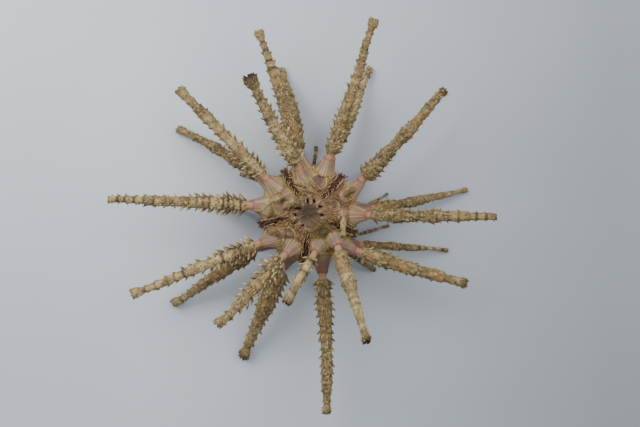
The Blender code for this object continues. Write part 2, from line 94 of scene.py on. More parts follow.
# Each big spine: its zone and column, how far its seat lies from the top in degrees round the
# test's profile, where its tip is (azimuth, counterclockwise from the right as seen from above,
# and reach and height in millimetres, with no height where it rests on the floor), how far its
# middle bows aside, its sort, how strongly it is banded, how stout it is, the radii of its neck
# and crown in millimetres, how long its thorns are and how pale it is beside the others, and how
# overgrown it is at five places up the shaft.
Spine = namedtuple("Spine", "zone side seat azimuth reach height bow form bands stout neck crown "
                            "teeth tone crust")
BARE = (0.2, 0.2, 0.3, 0.2, 0.2)
HALF_GROWN = (0.5, 0.5, 0.4, 0.5, 0.4)
SPINES = [
    Spine(1, -1, 70, 71.4, 72.6, 30.0, -0.5,
          BIG, 0.8, 1.0, 0.9, 1.85, 1.15, 0.98, (0.9, 0.7, 0.5, 0.6, 0.4)),
    Spine(1, -1, 97, 67.6, 58.9, None, -0.6,
          BIG, 0.6, 1.05, 0.8, 1.3, 0.9, 0.92, (0.9, 0.7, 0.5, 0.3, 0.2)),
    Spine(1, 0, 125, 84.5, 24.8, None, 0.0,
          ROD, 1.0, 1.0, 0.55, 0.75, 1.0, 1.0, BARE),
    Spine(1, 1, 48, 113.6, 52.2, 38.5, 0.4,
          BIG, 0.3, 1.1, 1.35, 2.5, 1.15, 0.98, (0.6, 0.3, 0.2, 0.6, 1.0)),
    Spine(1, 1, 76, 105.5, 68.6, 19.0, -0.8,
          BIG, 0.9, 1.02, 1.05, 1.85, 1.0, 1.0, (0.95, 0.9, 0.6, 0.2, 0.1)),
    Spine(1, 1, 103, 100.8, 54.9, None, -0.5,
          BIG, 0.2, 1.18, 1.1, 1.1, 0.8, 0.98, (0.95, 0.9, 0.8, 0.7, 0.3)),
    Spine(1, 1, 130, 101.0, 29.0, None, 0.0,
          ROD, 0.8, 1.0, 0.55, 0.75, 1.0, 1.0, BARE),
    Spine(2, -1, 34, 178.6, 17.9, 34.0, -0.8,
          YOUNG, 0.1, 1.0, 0.85, 0.95, 0.7, 0.95, BARE),
    Spine(2, -1, 62, 136.2, 64.5, 25.0, 0.0,
          BIG, 0.2, 0.97, 1.6, 2.0, 0.85, 0.93, (0.2, 0.1, 0.2, 0.7, 0.35)),
    Spine(2, -1, 90, 147.2, 58.2, None, -0.8,
          BIG, 0.2, 0.85, 1.15, 1.5, 0.8, 0.84, (0.8, 0.8, 0.95, 0.8, 0.2)),
    Spine(2, -1, 123, 150.0, 29.5, None, 0.0,
          ROD, 1.0, 1.0, 0.55, 0.8, 1.0, 0.9, BARE),
    Spine(2, 1, 32, 133.7, 6.6, 33.0, 0.0,
          YOUNG, 0.0, 1.1, 1.1, 1.7, 1.0, 0.95, BARE),
    Spine(2, 1, 66, 176.1, 72.4, 22.0, -0.4,
          BIG, 1.0, 1.0, 1.25, 1.4, 1.15, 1.1, (0.05, 0.3, 0.65, 0.35, 0.0)),
    Spine(2, 1, 95, 172.2, 39.7, None, 0.0,
          BIG, 0.3, 0.9, 1.2, 1.3, 0.8, 0.9, (0.7, 0.6, 0.6, 0.6, 0.5)),
    Spine(2, 1, 125, 174.0, 29.0, None, 0.0,
          ROD, 0.9, 1.0, 0.55, 0.75, 1.0, 0.9, BARE),
    Spine(3, -1, 45, 202.9, 15.0, 32.0, 0.0,
          YOUNG, 0.1, 1.1, 1.1, 1.8, 0.9, 1.0, BARE),
    Spine(3, -1, 66, 204.5, 70.0, 22.0, 0.0,
          BIG, 0.8, 0.92, 1.2, 2.0, 1.3, 0.97, (0.1, 0.1, 0.3, 0.4, 0.3)),
    Spine(3, -1, 95, 213.4, 60.9, None, 0.0,
          BIG, 0.5, 1.1, 1.15, 1.75, 0.8, 0.86, (0.8, 0.8, 0.8, 0.4, 0.4)),
    Spine(3, -1, 125, 208.0, 29.0, None, 0.0,
          ROD, 0.9, 1.0, 0.55, 0.75, 1.0, 0.9, BARE),
    Spine(3, 1, 50, 230.5, 50.9, 33.0, 0.4,
          BIG, 0.5, 1.0, 1.35, 2.05, 1.75, 0.97, (0.8, 0.7, 0.35, 0.5, 0.1)),
    Spine(3, 1, 78, 245.2, 58.8, None, 0.0,
          BIG, 0.3, 1.25, 1.4, 2.1, 1.25, 0.91, (0.7, 0.8, 0.9, 0.5, 0.7)),
    Spine(3, 1, 118, 238.0, 31.0, None, 0.0,
          ROD, 0.9, 1.0, 0.55, 0.75, 1.0, 0.9, BARE),
    Spine(4, -1, 41, 255.7, 32.6, 34.0, 0.0,
          HALF, 0.8, 1.0, 1.5, 1.9, 1.1, 1.0, (0.2, 0.1, 0.3, 0.5, 0.5)),
    Spine(4, -1, 78, 275.0, 72.4, 20.0, 0.7,
          BIG, 0.5, 1.08, 1.25, 1.5, 1.15, 0.86, (0.8, 0.6, 0.6, 0.8, 0.5)),
    Spine(4, -1, 115, 277.0, 33.0, None, 0.0,
          ROD, 0.9, 1.0, 0.55, 0.75, 1.0, 0.9, BARE),
    Spine(4, 1, 47, 294.5, 48.6, 45.0, 0.0,
          BIG, 0.5, 1.08, 1.15, 1.7, 0.45, 1.03, (0.75, 0.6, 0.35, 0.2, 0.8)),
    Spine(4, 1, 76, 336.0, 62.3, 18.0, -0.5,
          BIG, 0.4, 1.1, 1.4, 1.8, 0.85, 0.95, (0.8, 0.7, 0.8, 0.8, 0.6)),
    Spine(4, 1.25, 103, 345.0, 53.3, None, 0.4,
          BIG, 0.9, 0.66, 0.5, 0.6, 0.4, 0.82, (1.0, 1.0, 0.8, 0.0, 0.5)),
    Spine(4, 0.5, 130, 319.1, 32.1, None, 0.0,
          ROD, 1.0, 1.3, 0.8, 1.0, 1.0, 0.85, HALF_GROWN),
    Spine(4, 1.35, 124, 351.2, 29.8, None, 0.0,
          ROD, 1.0, 0.9, 0.5, 0.6, 1.0, 0.85, BARE),
    Spine(5, -1, 42, 324.9, 14.3, 34.0, 0.0,
          YOUNG, 0.0, 1.0, 0.7, 0.95, 0.6, 1.0, BARE),
    Spine(5, -1, 70, 358.9, 65.5, 36.5, -0.1,
          BIG, 1.0, 1.1, 1.25, 1.3, 0.85, 0.88, (0.95, 0.95, 0.6, 0.55, 0.0)),
    Spine(5, -0.7, 96, 8.5, 59.3, None, -0.5,
          BIG, 0.5, 0.85, 0.66, 0.85, 0.6, 0.8, (0.9, 1.0, 0.7, 0.4, 0.1)),
    Spine(5, -1, 122, 14.4, 30.0, None, 0.0,
          ROD, 1.0, 0.9, 0.42, 0.5, 1.0, 1.0, BARE),
    Spine(5, 1, 53, 29.0, 17.7, 34.0, 0.0,
          YOUNG, 0.2, 1.2, 1.0, 1.3, 0.6, 0.95, HALF_GROWN),
    Spine(5, 1, 80, 42.3, 65.6, 26.0, -0.3,
          BIG, 0.0, 1.14, 1.1, 1.5, 1.0, 0.86, (0.8, 0.95, 1.0, 0.9, 0.9)),
    Spine(5, 1, 118, 36.0, 27.0, None, 0.0,
          ROD, 1.0, 1.0, 0.55, 0.75, 1.0, 0.9, BARE),
]

# The youngest plates near the top, whose spines have yet to grow: zone, side, seat and radius.
Bud = namedtuple("Bud", "zone side seat radius")
BUDS = [
    Bud(1, -0.8, 40, 2.8 * MM),
    Bud(3, -0.2, 34, 2.6 * MM),
    Bud(4, 0.5, 27, 2.4 * MM),
    Bud(5, 0.3, 29, 1.8 * MM),
    Bud(1, 0.9, 25, 1.5 * MM),
]


def zone_middle(zone):
    """The azimuth of the middle of a wide zone, numbered from 1."""
    return FIRST_ZONE + (zone - 1) * ZONE_ANGLE


# The short spines nearest the mouth, one at the foot of each column.
MOUTH_SEAT = 149.0
MOUTH_REACH = 14.0
MOUTH_HEIGHT = 3.4
for zone in range(1, 6):
    for side in (-1, 1):
        azimuth = math.degrees(zone_middle(zone) + side * COLUMN_ANGLE)
        SPINES.append(Spine(zone, side, MOUTH_SEAT, azimuth, MOUTH_REACH, MOUTH_HEIGHT, bow=0.0,
                            form=MOUTH, bands=0.0, stout=1.0, neck=0.5, crown=0.6, teeth=1.0,
                            tone=1.0, crust=BARE))


def polar(azimuth, reach, height=0.0):
    """The place at an azimuth, a reach from the axis and a height."""
    return Vector((reach * math.cos(azimuth), reach * math.sin(azimuth), height))


def test_point(seat, azimuth, inset=0.0):
    """A point of the test's skin, seat degrees down its profile from the top."""
    angle = math.radians(seat)
    power = 2.0 / TEST_SQUARENESS
    reach = (TEST_RADIUS - inset) * abs(math.sin(angle)) ** power
    rise = (TEST_HALF_HEIGHT - inset) * abs(math.cos(angle)) ** power
    z = TEST_MIDDLE_Z + math.copysign(rise, math.cos(angle))
    return AXIS + polar(azimuth, reach, z)


def test_frame(seat, azimuth):
    """The directions out of the test, down its profile and across it, at one place."""
    down = (test_point(seat + 1.0, azimuth) - test_point(seat - 1.0, azimuth)).normalized()
    across = polar(azimuth + math.pi / 2, 1.0)
    return down.cross(across), down, across


def seat_of_radius(radius):
    """How far down the profile, from the top, the test has this radius."""
    return math.degrees(math.asin((radius / TEST_RADIUS) ** (TEST_SQUARENESS / 2.0)))


def seat_azimuth(spine):
    """Where round the test a spine or a bud has its seat."""
    return zone_middle(spine.zone) + spine.side * COLUMN_ANGLE


def sheath_radius(spine):
    """How wide a sheath stands, less where the zone's edge is near."""
    reach = (test_point(spine.seat, 0.0) - AXIS).xy.length
    margin = ZONE_ANGLE / 2 - FURROW_HALF_ANGLE - abs(spine.side) * COLUMN_ANGLE
    return min(spine.form.foot, reach * math.tan(margin))


DISHES = [(test_point(spine.seat, seat_azimuth(spine)), sheath_radius(spine)) for spine in SPINES]
DISHES += [(test_point(bud.seat, seat_azimuth(bud)), bud.radius) for bud in BUDS]


def smooth(low, high, values):
    """A soft step from 0 at low to 1 at high."""
    share = np.clip((values - low) / (high - low), 0.0, 1.0)
    return share * share * (3.0 - 2.0 * share)


def waves(points, size, seed, count=7):
    """Soft lumps of about one size, from -1 to 1, at each of an array of points."""
    rng = np.random.default_rng(seed)
    ways = rng.normal(size=(count, 3))
    ways *= 2.0 * math.pi / size / np.linalg.norm(ways, axis=1, keepdims=True)
    ways *= rng.uniform(0.7, 1.4, size=(count, 1))
    return np.sin(points @ ways.T + rng.uniform(0.0, 6.3, count)).mean(axis=1) * 1.6


def moss_at(points):
    """How much olive green stains the skin at points, most beside the disc on one side."""
    middle = np.array(test_point(MOSS_SEAT, MOSS_AZIMUTH))
    away = np.linalg.norm(np.asarray(points) - middle, axis=1)
    return np.exp(-((away / MOSS_SIZE) ** 2))


def linked(name, data):
    """A new object in the scene, of a mesh, a light or a camera."""
    thing = bpy.data.objects.new(name, data)
    bpy.context.scene.collection.objects.link(thing)
    return thing


def hold(mesh, key, numbers):
    """Keeps a number or a vector for each point of a mesh, for materials or nodes to read."""
    numbers = np.asarray(numbers, dtype=np.float32)
    vector = numbers.ndim == 2
    held = mesh.attributes.new(key, "FLOAT_VECTOR" if vector else "FLOAT", "POINT")
    held.data.foreach_set("vector" if vector else "value", numbers.ravel())


def made_mesh(name, points, faces, corner_map, values, material):
    """A smooth mesh object from arrays, with its OFBake map and values on its points."""
    mesh = bpy.data.meshes.new(name)
    mesh.from_pydata(np.asarray(points).tolist(), [], faces)
    mesh.uv_layers.new(name="OFBake")
    mesh.uv_layers["OFBake"].data.foreach_set("uv", np.asarray(corner_map, float).ravel())
    for key, numbers in values.items():
        hold(mesh, key, numbers)
    mesh.shade_smooth()
    mesh.materials.append(material)
    return linked(name, mesh)


def tube(rings, sides, first=0):
    """Quads between rings of points, and how far along and round each corner lies."""
    faces, corners = [], []
    for low in range(rings - 1):
        for k in range(sides):
            after = (k + 1) % sides
            base = first + low * sides
            faces.append((base + k, base + after, base + sides + after, base + sides + k))
            corners += [(k, low), (k + 1, low), (k + 1, low + 1), (k, low + 1)]
    return faces, np.array(corners, float) / (sides, max(1, rings - 1))


def capped(faces, corners, ring, centre, sides, outward, place):
    """Adds a fan of triangles that closes the end of a tube at a centre point."""
    for k in range(sides):
        pair = (k, k + 1) if outward else (k + 1, k)
        faces.append((ring + pair[0] % sides, ring + pair[1] % sides, centre))
        corners += [(one / sides, place) for one in pair]
        corners.append(((k + 0.5) / sides, place + (CAP_PATCH if outward else -CAP_PATCH)))


def shade(red, green, blue):
    """A colour as it looks on a screen, 0 to 255, turned into what a shader takes."""
    parts = [c / 255.0 for c in (red, green, blue)]
    return (*[c / 12.92 if c <= 0.04045 else ((c + 0.055) / 1.055) ** 2.4 for c in parts], 1.0)


class Finish:
    """A material as it is put together, with a short call for each node that recurs."""

    def __init__(self, name, roughness, bump_strength, bump_depth):
        self.material = bpy.data.materials.new(name)
        self.material.use_nodes = True
        self.tree = self.material.node_tree
        self.shader = self.tree.nodes["Principled BSDF"]
        self.shader.inputs["Roughness"].default_value = roughness
        self.shader.inputs["Specular IOR Level"].default_value = 0.25
        self.place = self.tree.nodes.new("ShaderNodeTexCoord").outputs["Object"]
        self.bump = self.tree.nodes.new("ShaderNodeBump")
        self.bump.inputs["Strength"].default_value = bump_strength
        self.bump.inputs["Distance"].default_value = bump_depth
        self.tree.links.new(self.bump.outputs["Normal"], self.shader.inputs["Normal"])

    def feed(self, socket, value):
        if isinstance(value, bpy.types.NodeSocket):
            self.tree.links.new(value, socket)
        else:
            socket.default_value = value

    def noise(self, scale, detail=3.0, place=None, stretch=None):
        node = self.tree.nodes.new("ShaderNodeTexNoise")
        node.inputs["Scale"].default_value = scale
        node.inputs["Detail"].default_value = detail
        place = place or self.place
        if stretch:
            mapping = self.tree.nodes.new("ShaderNodeMapping")
            mapping.inputs["Scale"].default_value = stretch
            self.feed(mapping.inputs["Vector"], place)
            place = mapping.outputs["Vector"]
        self.feed(node.inputs["Vector"], place)
        return node.outputs["Fac"]

    def cells(self, scale):
        node = self.tree.nodes.new("ShaderNodeTexVoronoi")
        node.inputs["Scale"].default_value = scale
        self.feed(node.inputs["Vector"], self.place)
        return node.outputs["Distance"]

    def value(self, name, output="Fac"):
        node = self.tree.nodes.new("ShaderNodeAttribute")
        node.attribute_name = name
        return node.outputs[output]

    def ramp(self, factor, *stops):
        node = self.tree.nodes.new("ShaderNodeValToRGB")
        self.feed(node.inputs["Fac"], factor)
        elements = node.color_ramp.elements
        for index, (place, tone) in enumerate(stops):
            element = elements[index] if index < 2 else elements.new(place)
            element.position = place
            element.color = tone
        return node.outputs["Color"]

    def spread(self, factor, low, high, to_low=0.0, to_high=1.0):
        node = self.tree.nodes.new("ShaderNodeMapRange")
        self.feed(node.inputs["Value"], factor)
        for key, number in (("From Min", low), ("From Max", high),
                            ("To Min", to_low), ("To Max", to_high)):
            node.inputs[key].default_value = number
        return node.outputs["Result"]

    def maths(self, operation, first, second):
        node = self.tree.nodes.new("ShaderNodeMath")
        node.operation = operation
        self.feed(node.inputs[0], first)
        self.feed(node.inputs[1], second)
        return node.outputs["Value"]

    def mix(self, factor, first, second, blend="MIX"):
        node = self.tree.nodes.new("ShaderNodeMix")
        node.data_type = "RGBA"
        node.blend_type = blend
        sockets = [socket for socket in node.inputs if socket.enabled]
        for socket, value in zip(sockets, (factor, first, second)):
            self.feed(socket, value)
        return next(socket for socket in node.outputs if socket.enabled)

    def done(self, base, height, roughness=None):
        self.feed(self.shader.inputs["Base Color"], base)
        self.feed(self.bump.inputs["Height"], height)
        if roughness is not None:
            self.feed(self.shader.inputs["Roughness"], roughness)
        return self.material


def skin_finish():
    """Granular mauve and cream skin, yellow on the rims and dark red in the furrows."""
    skin = Finish("test_skin", roughness=0.5, bump_strength=0.6, bump_depth=0.15 * MM)
    beads = skin.cells(1500.0)
    cloud = skin.noise(260.0)
    base = skin.ramp(cloud, (0.3, shade(100, 78, 56)), (0.7, shade(142, 117, 80)))
    base = skin.mix(skin.spread(skin.noise(140.0), 0.5, 0.66, 0.0, 0.6), base, shade(66, 52, 30))
    base = skin.mix(skin.spread(beads, 0.1, 0.6), base, shade(196, 170, 152), "MULTIPLY")
    base = skin.mix(skin.value("dish"), base,
                    skin.ramp(cloud, (0.35, shade(84, 61, 53)), (0.65, shade(114, 89, 70))))
    rim = skin.maths("MULTIPLY", skin.value("rim"), skin.spread(cloud, 0.35, 0.55, 0.3, 1.0))
    base = skin.mix(rim, base, shade(190, 160, 88))
    base = skin.mix(skin.value("moss"), base, shade(66, 57, 22))
    base = skin.mix(skin.value("furrow"), base,
                    skin.ramp(cloud, (0.3, shade(44, 17, 16)), (0.7, shade(78, 36, 30))))
    return skin.done(base, beads)


def test_skin():
    """The test as one closed surface, top and bottom sunk under the disc and the mouth."""
    seats = np.radians(np.linspace(0.0, 180.0, TEST_DOWN + 1)[1:-1])
    turns = np.arange(TEST_ROUND) * 2.0 * math.pi / TEST_ROUND
    seat, turn = (grid.ravel() for grid in np.meshgrid(seats, turns, indexing="ij"))
    power = 2.0 / TEST_SQUARENESS
    reach = TEST_RADIUS * np.sin(seat) ** power
    rise = TEST_HALF_HEIGHT * np.abs(np.cos(seat)) ** power * np.sign(np.cos(seat))
    flat = np.stack([np.cos(turn), np.sin(turn)], axis=1)
    points = np.column_stack([flat * reach[:, None], rise + TEST_MIDDLE_Z])
    steep = TEST_SQUARENESS - 1.0
    slope = (reach / TEST_RADIUS) ** steep / TEST_RADIUS
    lift = (np.abs(rise) / TEST_HALF_HEIGHT) ** steep / TEST_HALF_HEIGHT * np.sign(rise)
    normals = np.column_stack([flat * slope[:, None], lift])
    normals /= np.linalg.norm(normals, axis=1, keepdims=True)
    points += np.array(AXIS)

    off = (turn - FIRST_ZONE) % ZONE_ANGLE - ZONE_ANGLE / 2
    furrow = 1.0 - smooth(0.6 * FURROW_HALF_ANGLE, 1.15 * FURROW_HALF_ANGLE, np.abs(off))
    away = np.stack([np.linalg.norm(points - np.array(middle), axis=1) / radius
                     for middle, radius in DISHES])
    away.sort(axis=0)
    meeting = np.exp(-((away[1] - away[0]) / RIM_SHARE) ** 2) * (1.0 - smooth(1.1, 1.4, away[0]))
    edge = np.exp(-((away[0] - 1.0) / RIM_SHARE) ** 2)
    rim = np.maximum(meeting, edge) * (1.0 - furrow)
    dish = (1.0 - smooth(0.85, 1.0, away[0])) * (1.0 - furrow)
    boss = np.exp(-((away[0] / BOSS_SHARE) ** 2))
    covered = 1.0 - smooth(TOP_RADIUS * 0.9, TOP_RADIUS, reach)
    height = RIM_HEIGHT * rim - DISH_DEPTH * dish + BOSS_HEIGHT * boss - FURROW_DEPTH * furrow
    height += PEBBLE_HEIGHT * waves(points, PEBBLE_SIZE, 3)
    points += normals * (height * (1.0 - covered) - POLE_SINK * covered)[:, None]

    rings = len(seats)
    faces, corners = tube(rings, TEST_ROUND)
    faces = [tuple(reversed(face)) for face in faces]
    corners = corners.reshape(-1, 4, 2)[:, ::-1].reshape(-1, 2)
    fall = (TEST_MAP_TOP - TEST_MAP_BOTTOM) * corners[:, 1]
    corners = list(np.column_stack([corners[:, 0], TEST_MAP_TOP - fall]))
    points = list(points)
    for ring, outward, place in ((0, True, TEST_MAP_TOP + POLE_PATCH),
                                 (rings - 1, False, TEST_MAP_BOTTOM - POLE_PATCH)):
        first = ring * TEST_ROUND
        capped(faces, corners, first, len(points), TEST_ROUND, outward, place)
        points.append(np.mean(points[first:first + TEST_ROUND], axis=0))
    moss = 0.8 * moss_at(points[:len(turn)])
    values = {key: np.append(numbers, (0.0, 0.0)) for key, numbers in
              (("furrow", furrow), ("rim", rim), ("dish", dish), ("moss", moss))}
    return made_mesh("test", points, faces, corners, values, skin_finish())


test = test_skin()
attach(test, "root")
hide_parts(*ZONE_NODES, *FURROW_NODES)

# The furrows: two rows of fine dark red spinelets lean over each furrow and meet along its
# middle like herringbone, with a row of cream ones outside each and thin tube feet between.
ROW_STEP = 0.62 * MM
INNER_OFFSET = 0.42 * MM
OUTER_OFFSET = 1.4 * MM
EDGE_SEAT = 82.0
EDGE_SPREAD = 18.0
PATCH = 0.003
PATCH_TAPER = 0.85
MAP_EDGE = 0.004
MAP_SPAN = 0.989
FLOOR_CLEARANCE = 0.01 * MM

# Each sort of small spine: how deep its foot sits in the skin, how wide and how thick it is,
# and how long the shortest and the longest are, in millimetres.
Sort = namedtuple("Sort", "inset wide thick shortest longest")
DARK = Sort(0.7 * MM, 0.17 * MM, 0.1 * MM, 1.5, 2.2)
FOOT = Sort(0.6 * MM, 0.13 * MM, 0.13 * MM, 1.6, 2.8)
FRINGE = Sort(0.35 * MM, 0.18 * MM, 0.1 * MM, 1.2, 2.0)

# The shapes that are copied: rings at heights from the foot, 0, to the tip, 1, with how far
# each reaches across and deep and how far it bends aside, in shares of the copy's own size.
Ring = namedtuple("Ring", "height across deep bend")
SPINELET = [Ring(-0.3, 0.8, 0.9, 0.0), Ring(0.1, 1.0, 1.0, 0.0), Ring(0.45, 0.9, 0.9, 0.5),
            Ring(0.78, 0.62, 0.7, 0.4), Ring(0.94, 0.34, 0.5, 0.1)]
TUBE_FOOT = [Ring(-0.1, 1.0, 1.0, 0.0), Ring(0.25, 0.9, 0.9, 1.6), Ring(0.55, 0.75, 0.75, 2.0),
             Ring(0.86, 0.6, 0.6, 1.0), Ring(0.92, 1.25, 1.25, 0.5), Ring(0.98, 1.1, 1.1, 0.2)]


def small_shape(name, rings, sides):
    """A closed small shape along +Z, one long, that many copies are made of."""
    bottom = rings[0].height
    points, flats, rises = [], [], []
    for ring in rings:
        rise = (ring.height - bottom) / (1.0 - bottom)
        for k in range(sides):
            angle = 2.0 * math.pi * k / sides
            points.append((ring.across * math.cos(angle),
                           ring.deep * math.sin(angle) + ring.bend, ring.height))
            spread = 0.5 * (1.0 - PATCH_TAPER * rise)
            flats.append((0.5 + spread * math.cos(angle), 0.5 + spread * math.sin(angle), 0.0))
            rises.append(ring.height)
    points.append((0.0, 0.0, 1.0))
    flats.append((0.5, 0.5, 0.0))
    rises.append(1.0)
    faces = [tuple(reversed(range(sides)))] + tube(len(rings), sides)[0]
    last = (len(rings) - 1) * sides
    faces += [(last + k, last + (k + 1) % sides, len(points) - 1) for k in range(sides)]
    mesh = bpy.data.meshes.new(name)
    mesh.from_pydata(points, [], faces)
    hold(mesh, "flat", flats)
    hold(mesh, "rise", rises)
    mesh.shade_smooth()
    return linked(name, mesh)


def growing_tree():
    """Geometry nodes that set a small shape on every point and join them in one mesh."""
    tree = bpy.data.node_groups.new("growing", "GeometryNodeTree")
    tree.interface.new_socket("Geometry", in_out="INPUT", socket_type="NodeSocketGeometry")
    tree.interface.new_socket("Shape", in_out="INPUT", socket_type="NodeSocketObject")
    tree.interface.new_socket("Finish", in_out="INPUT", socket_type="NodeSocketMaterial")
    size = tree.interface.new_socket("Patch", in_out="INPUT", socket_type="NodeSocketFloat")
    size.default_value = PATCH
    tree.interface.new_socket("Geometry", in_out="OUTPUT", socket_type="NodeSocketGeometry")
    start = tree.nodes.new("NodeGroupInput")
    end = tree.nodes.new("NodeGroupOutput")
    shape = tree.nodes.new("GeometryNodeObjectInfo")
    copies = tree.nodes.new("GeometryNodeInstanceOnPoints")
    turn = tree.nodes.new("FunctionNodeEulerToRotation")
    joined = tree.nodes.new("GeometryNodeRealizeInstances")
    store = tree.nodes.new("GeometryNodeStoreNamedAttribute")
    store.data_type = "FLOAT2"
    store.domain = "CORNER"
    store.inputs["Name"].default_value = "OFBake"
    spot = tree.nodes.new("ShaderNodeVectorMath")
    spot.operation = "MULTIPLY_ADD"
    paint = tree.nodes.new("GeometryNodeSetMaterial")
    reads = {}
    for key in ("turn", "size", "root", "flat"):
        reads[key] = tree.nodes.new("GeometryNodeInputNamedAttribute")
        reads[key].data_type = "FLOAT_VECTOR"
        reads[key].inputs["Name"].default_value = key
    links = [
        (start.outputs["Geometry"], copies.inputs["Points"]),
        (start.outputs["Shape"], shape.inputs["Object"]),
        (shape.outputs["Geometry"], copies.inputs["Instance"]),
        (reads["turn"].outputs["Attribute"], turn.inputs["Euler"]),
        (turn.outputs["Rotation"], copies.inputs["Rotation"]),
        (reads["size"].outputs["Attribute"], copies.inputs["Scale"]),
        (copies.outputs["Instances"], joined.inputs["Geometry"]),
        (joined.outputs["Geometry"], store.inputs["Geometry"]),
        (reads["flat"].outputs["Attribute"], spot.inputs[0]),
        (start.outputs["Patch"], spot.inputs[1]),
        (reads["root"].outputs["Attribute"], spot.inputs[2]),
        (spot.outputs["Vector"], store.inputs["Value"]),
        (store.outputs["Geometry"], paint.inputs["Geometry"]),
        (start.outputs["Finish"], paint.inputs["Material"]),
        (paint.outputs["Geometry"], end.inputs["Geometry"]),
    ]
    for source, target in links:
        tree.links.new(source, target)
    return tree


GROWING = growing_tree()


def root_of(point):
    """Where a point of the test lies on an unwrap of it: azimuth across, profile up."""
    out = point - AXIS
    across = math.atan2(out.y, out.x) / (2.0 * math.pi) % 1.0
    fall = math.atan2(out.xy.length, out.z - TEST_MIDDLE_Z) / math.pi
    return (MAP_EDGE + MAP_SPAN * across, MAP_EDGE + MAP_SPAN * (1.0 - fall), 0.0)


class Spots:
    """The places where copies of a small shape grow, each with its turn, size and tints."""

    def __init__(self):
        self.places, self.turns, self.sizes, self.roots, self.tints = [], [], [], [], {}

    def add(self, place, way, facing, size, root=None, **tints):
        """way is where the shape points, and facing the side that its bend swells to."""
        way = way.normalized()
        facing = (facing - way * facing.dot(way)).normalized()
        side = facing.cross(way)
        self.places.append(tuple(place))
        self.turns.append(tuple(Matrix((side, facing, way)).transposed().to_euler()))
        self.sizes.append(size)
        self.roots.append(root or root_of(place))
        for key, tint in tints.items():
            self.tints.setdefault(key, []).append(tint)


def grown(name, rings, sides, spots, material):
    """One mesh piece of all the small shapes that grow on the spots."""
    shape = small_shape(f"{name}_shape", rings, sides)
    mesh = bpy.data.meshes.new(name)
    mesh.from_pydata(spots.places, [], [])
    hold(mesh, "turn", spots.turns)
    hold(mesh, "size", spots.sizes)
    hold(mesh, "root", spots.roots)
    for key, numbers in spots.tints.items():
        hold(mesh, key, numbers)
    thing = linked(name, mesh)
    modifier = thing.modifiers.new("growing", "NODES")
    modifier.node_group = GROWING
    for socket in GROWING.interface.items_tree:
        if socket.name == "Shape":
            modifier[socket.identifier] = shape
        if socket.name == "Finish":
            modifier[socket.identifier] = material
    depsgraph = bpy.context.evaluated_depsgraph_get()
    whole = bpy.data.meshes.new_from_object(thing.evaluated_get(depsgraph))
    whole.name = name
    thing.modifiers.clear()
    thing.data = whole
    for key in ("turn", "size", "root", "flat"):
        whole.attributes.remove(whole.attributes[key])
    bpy.data.objects.remove(shape, do_unlink=True)
    return thing


def keep_above_floor(thing):
    """Press flat what would reach below the floor."""
    places = np.empty(len(thing.data.vertices) * 3)
    thing.data.vertices.foreach_get("co", places)
    places[2::3] = np.maximum(places[2::3], FLOOR_CLEARANCE)
    thing.data.vertices.foreach_set("co", places)
    thing.data.update()


def spinelet_finish(name, foot, middle, tip, roughness):
    """A spinelet's colours from its foot to its tip, each a little lighter or darker."""
    paint = Finish(name, roughness, bump_strength=0.4, bump_depth=0.05 * MM)
    base = paint.ramp(paint.value("rise"), (0.0, foot), (0.9, tip), (0.45, middle))
    dim = paint.spread(paint.value("tone"), 0.0, 1.0, 0.5, 1.2)
    base = paint.mix(1.0, base, dim, "MULTIPLY")
    base = paint.mix(paint.value("moss"), base, shade(86, 74, 32))
    return paint.done(base, paint.noise(2400.0))


seat_fine = np.linspace(0.0, 180.0, 721)
profile = np.array([test_point(seat, 0.0) for seat in seat_fine])
run = np.concatenate([[0.0], np.cumsum(np.linalg.norm(np.diff(profile, axis=0), axis=1))])


def seat_at(length):
    """The seat that lies this far down the test's profile, measured over its surface."""
    return float(np.interp(length, run, seat_fine))


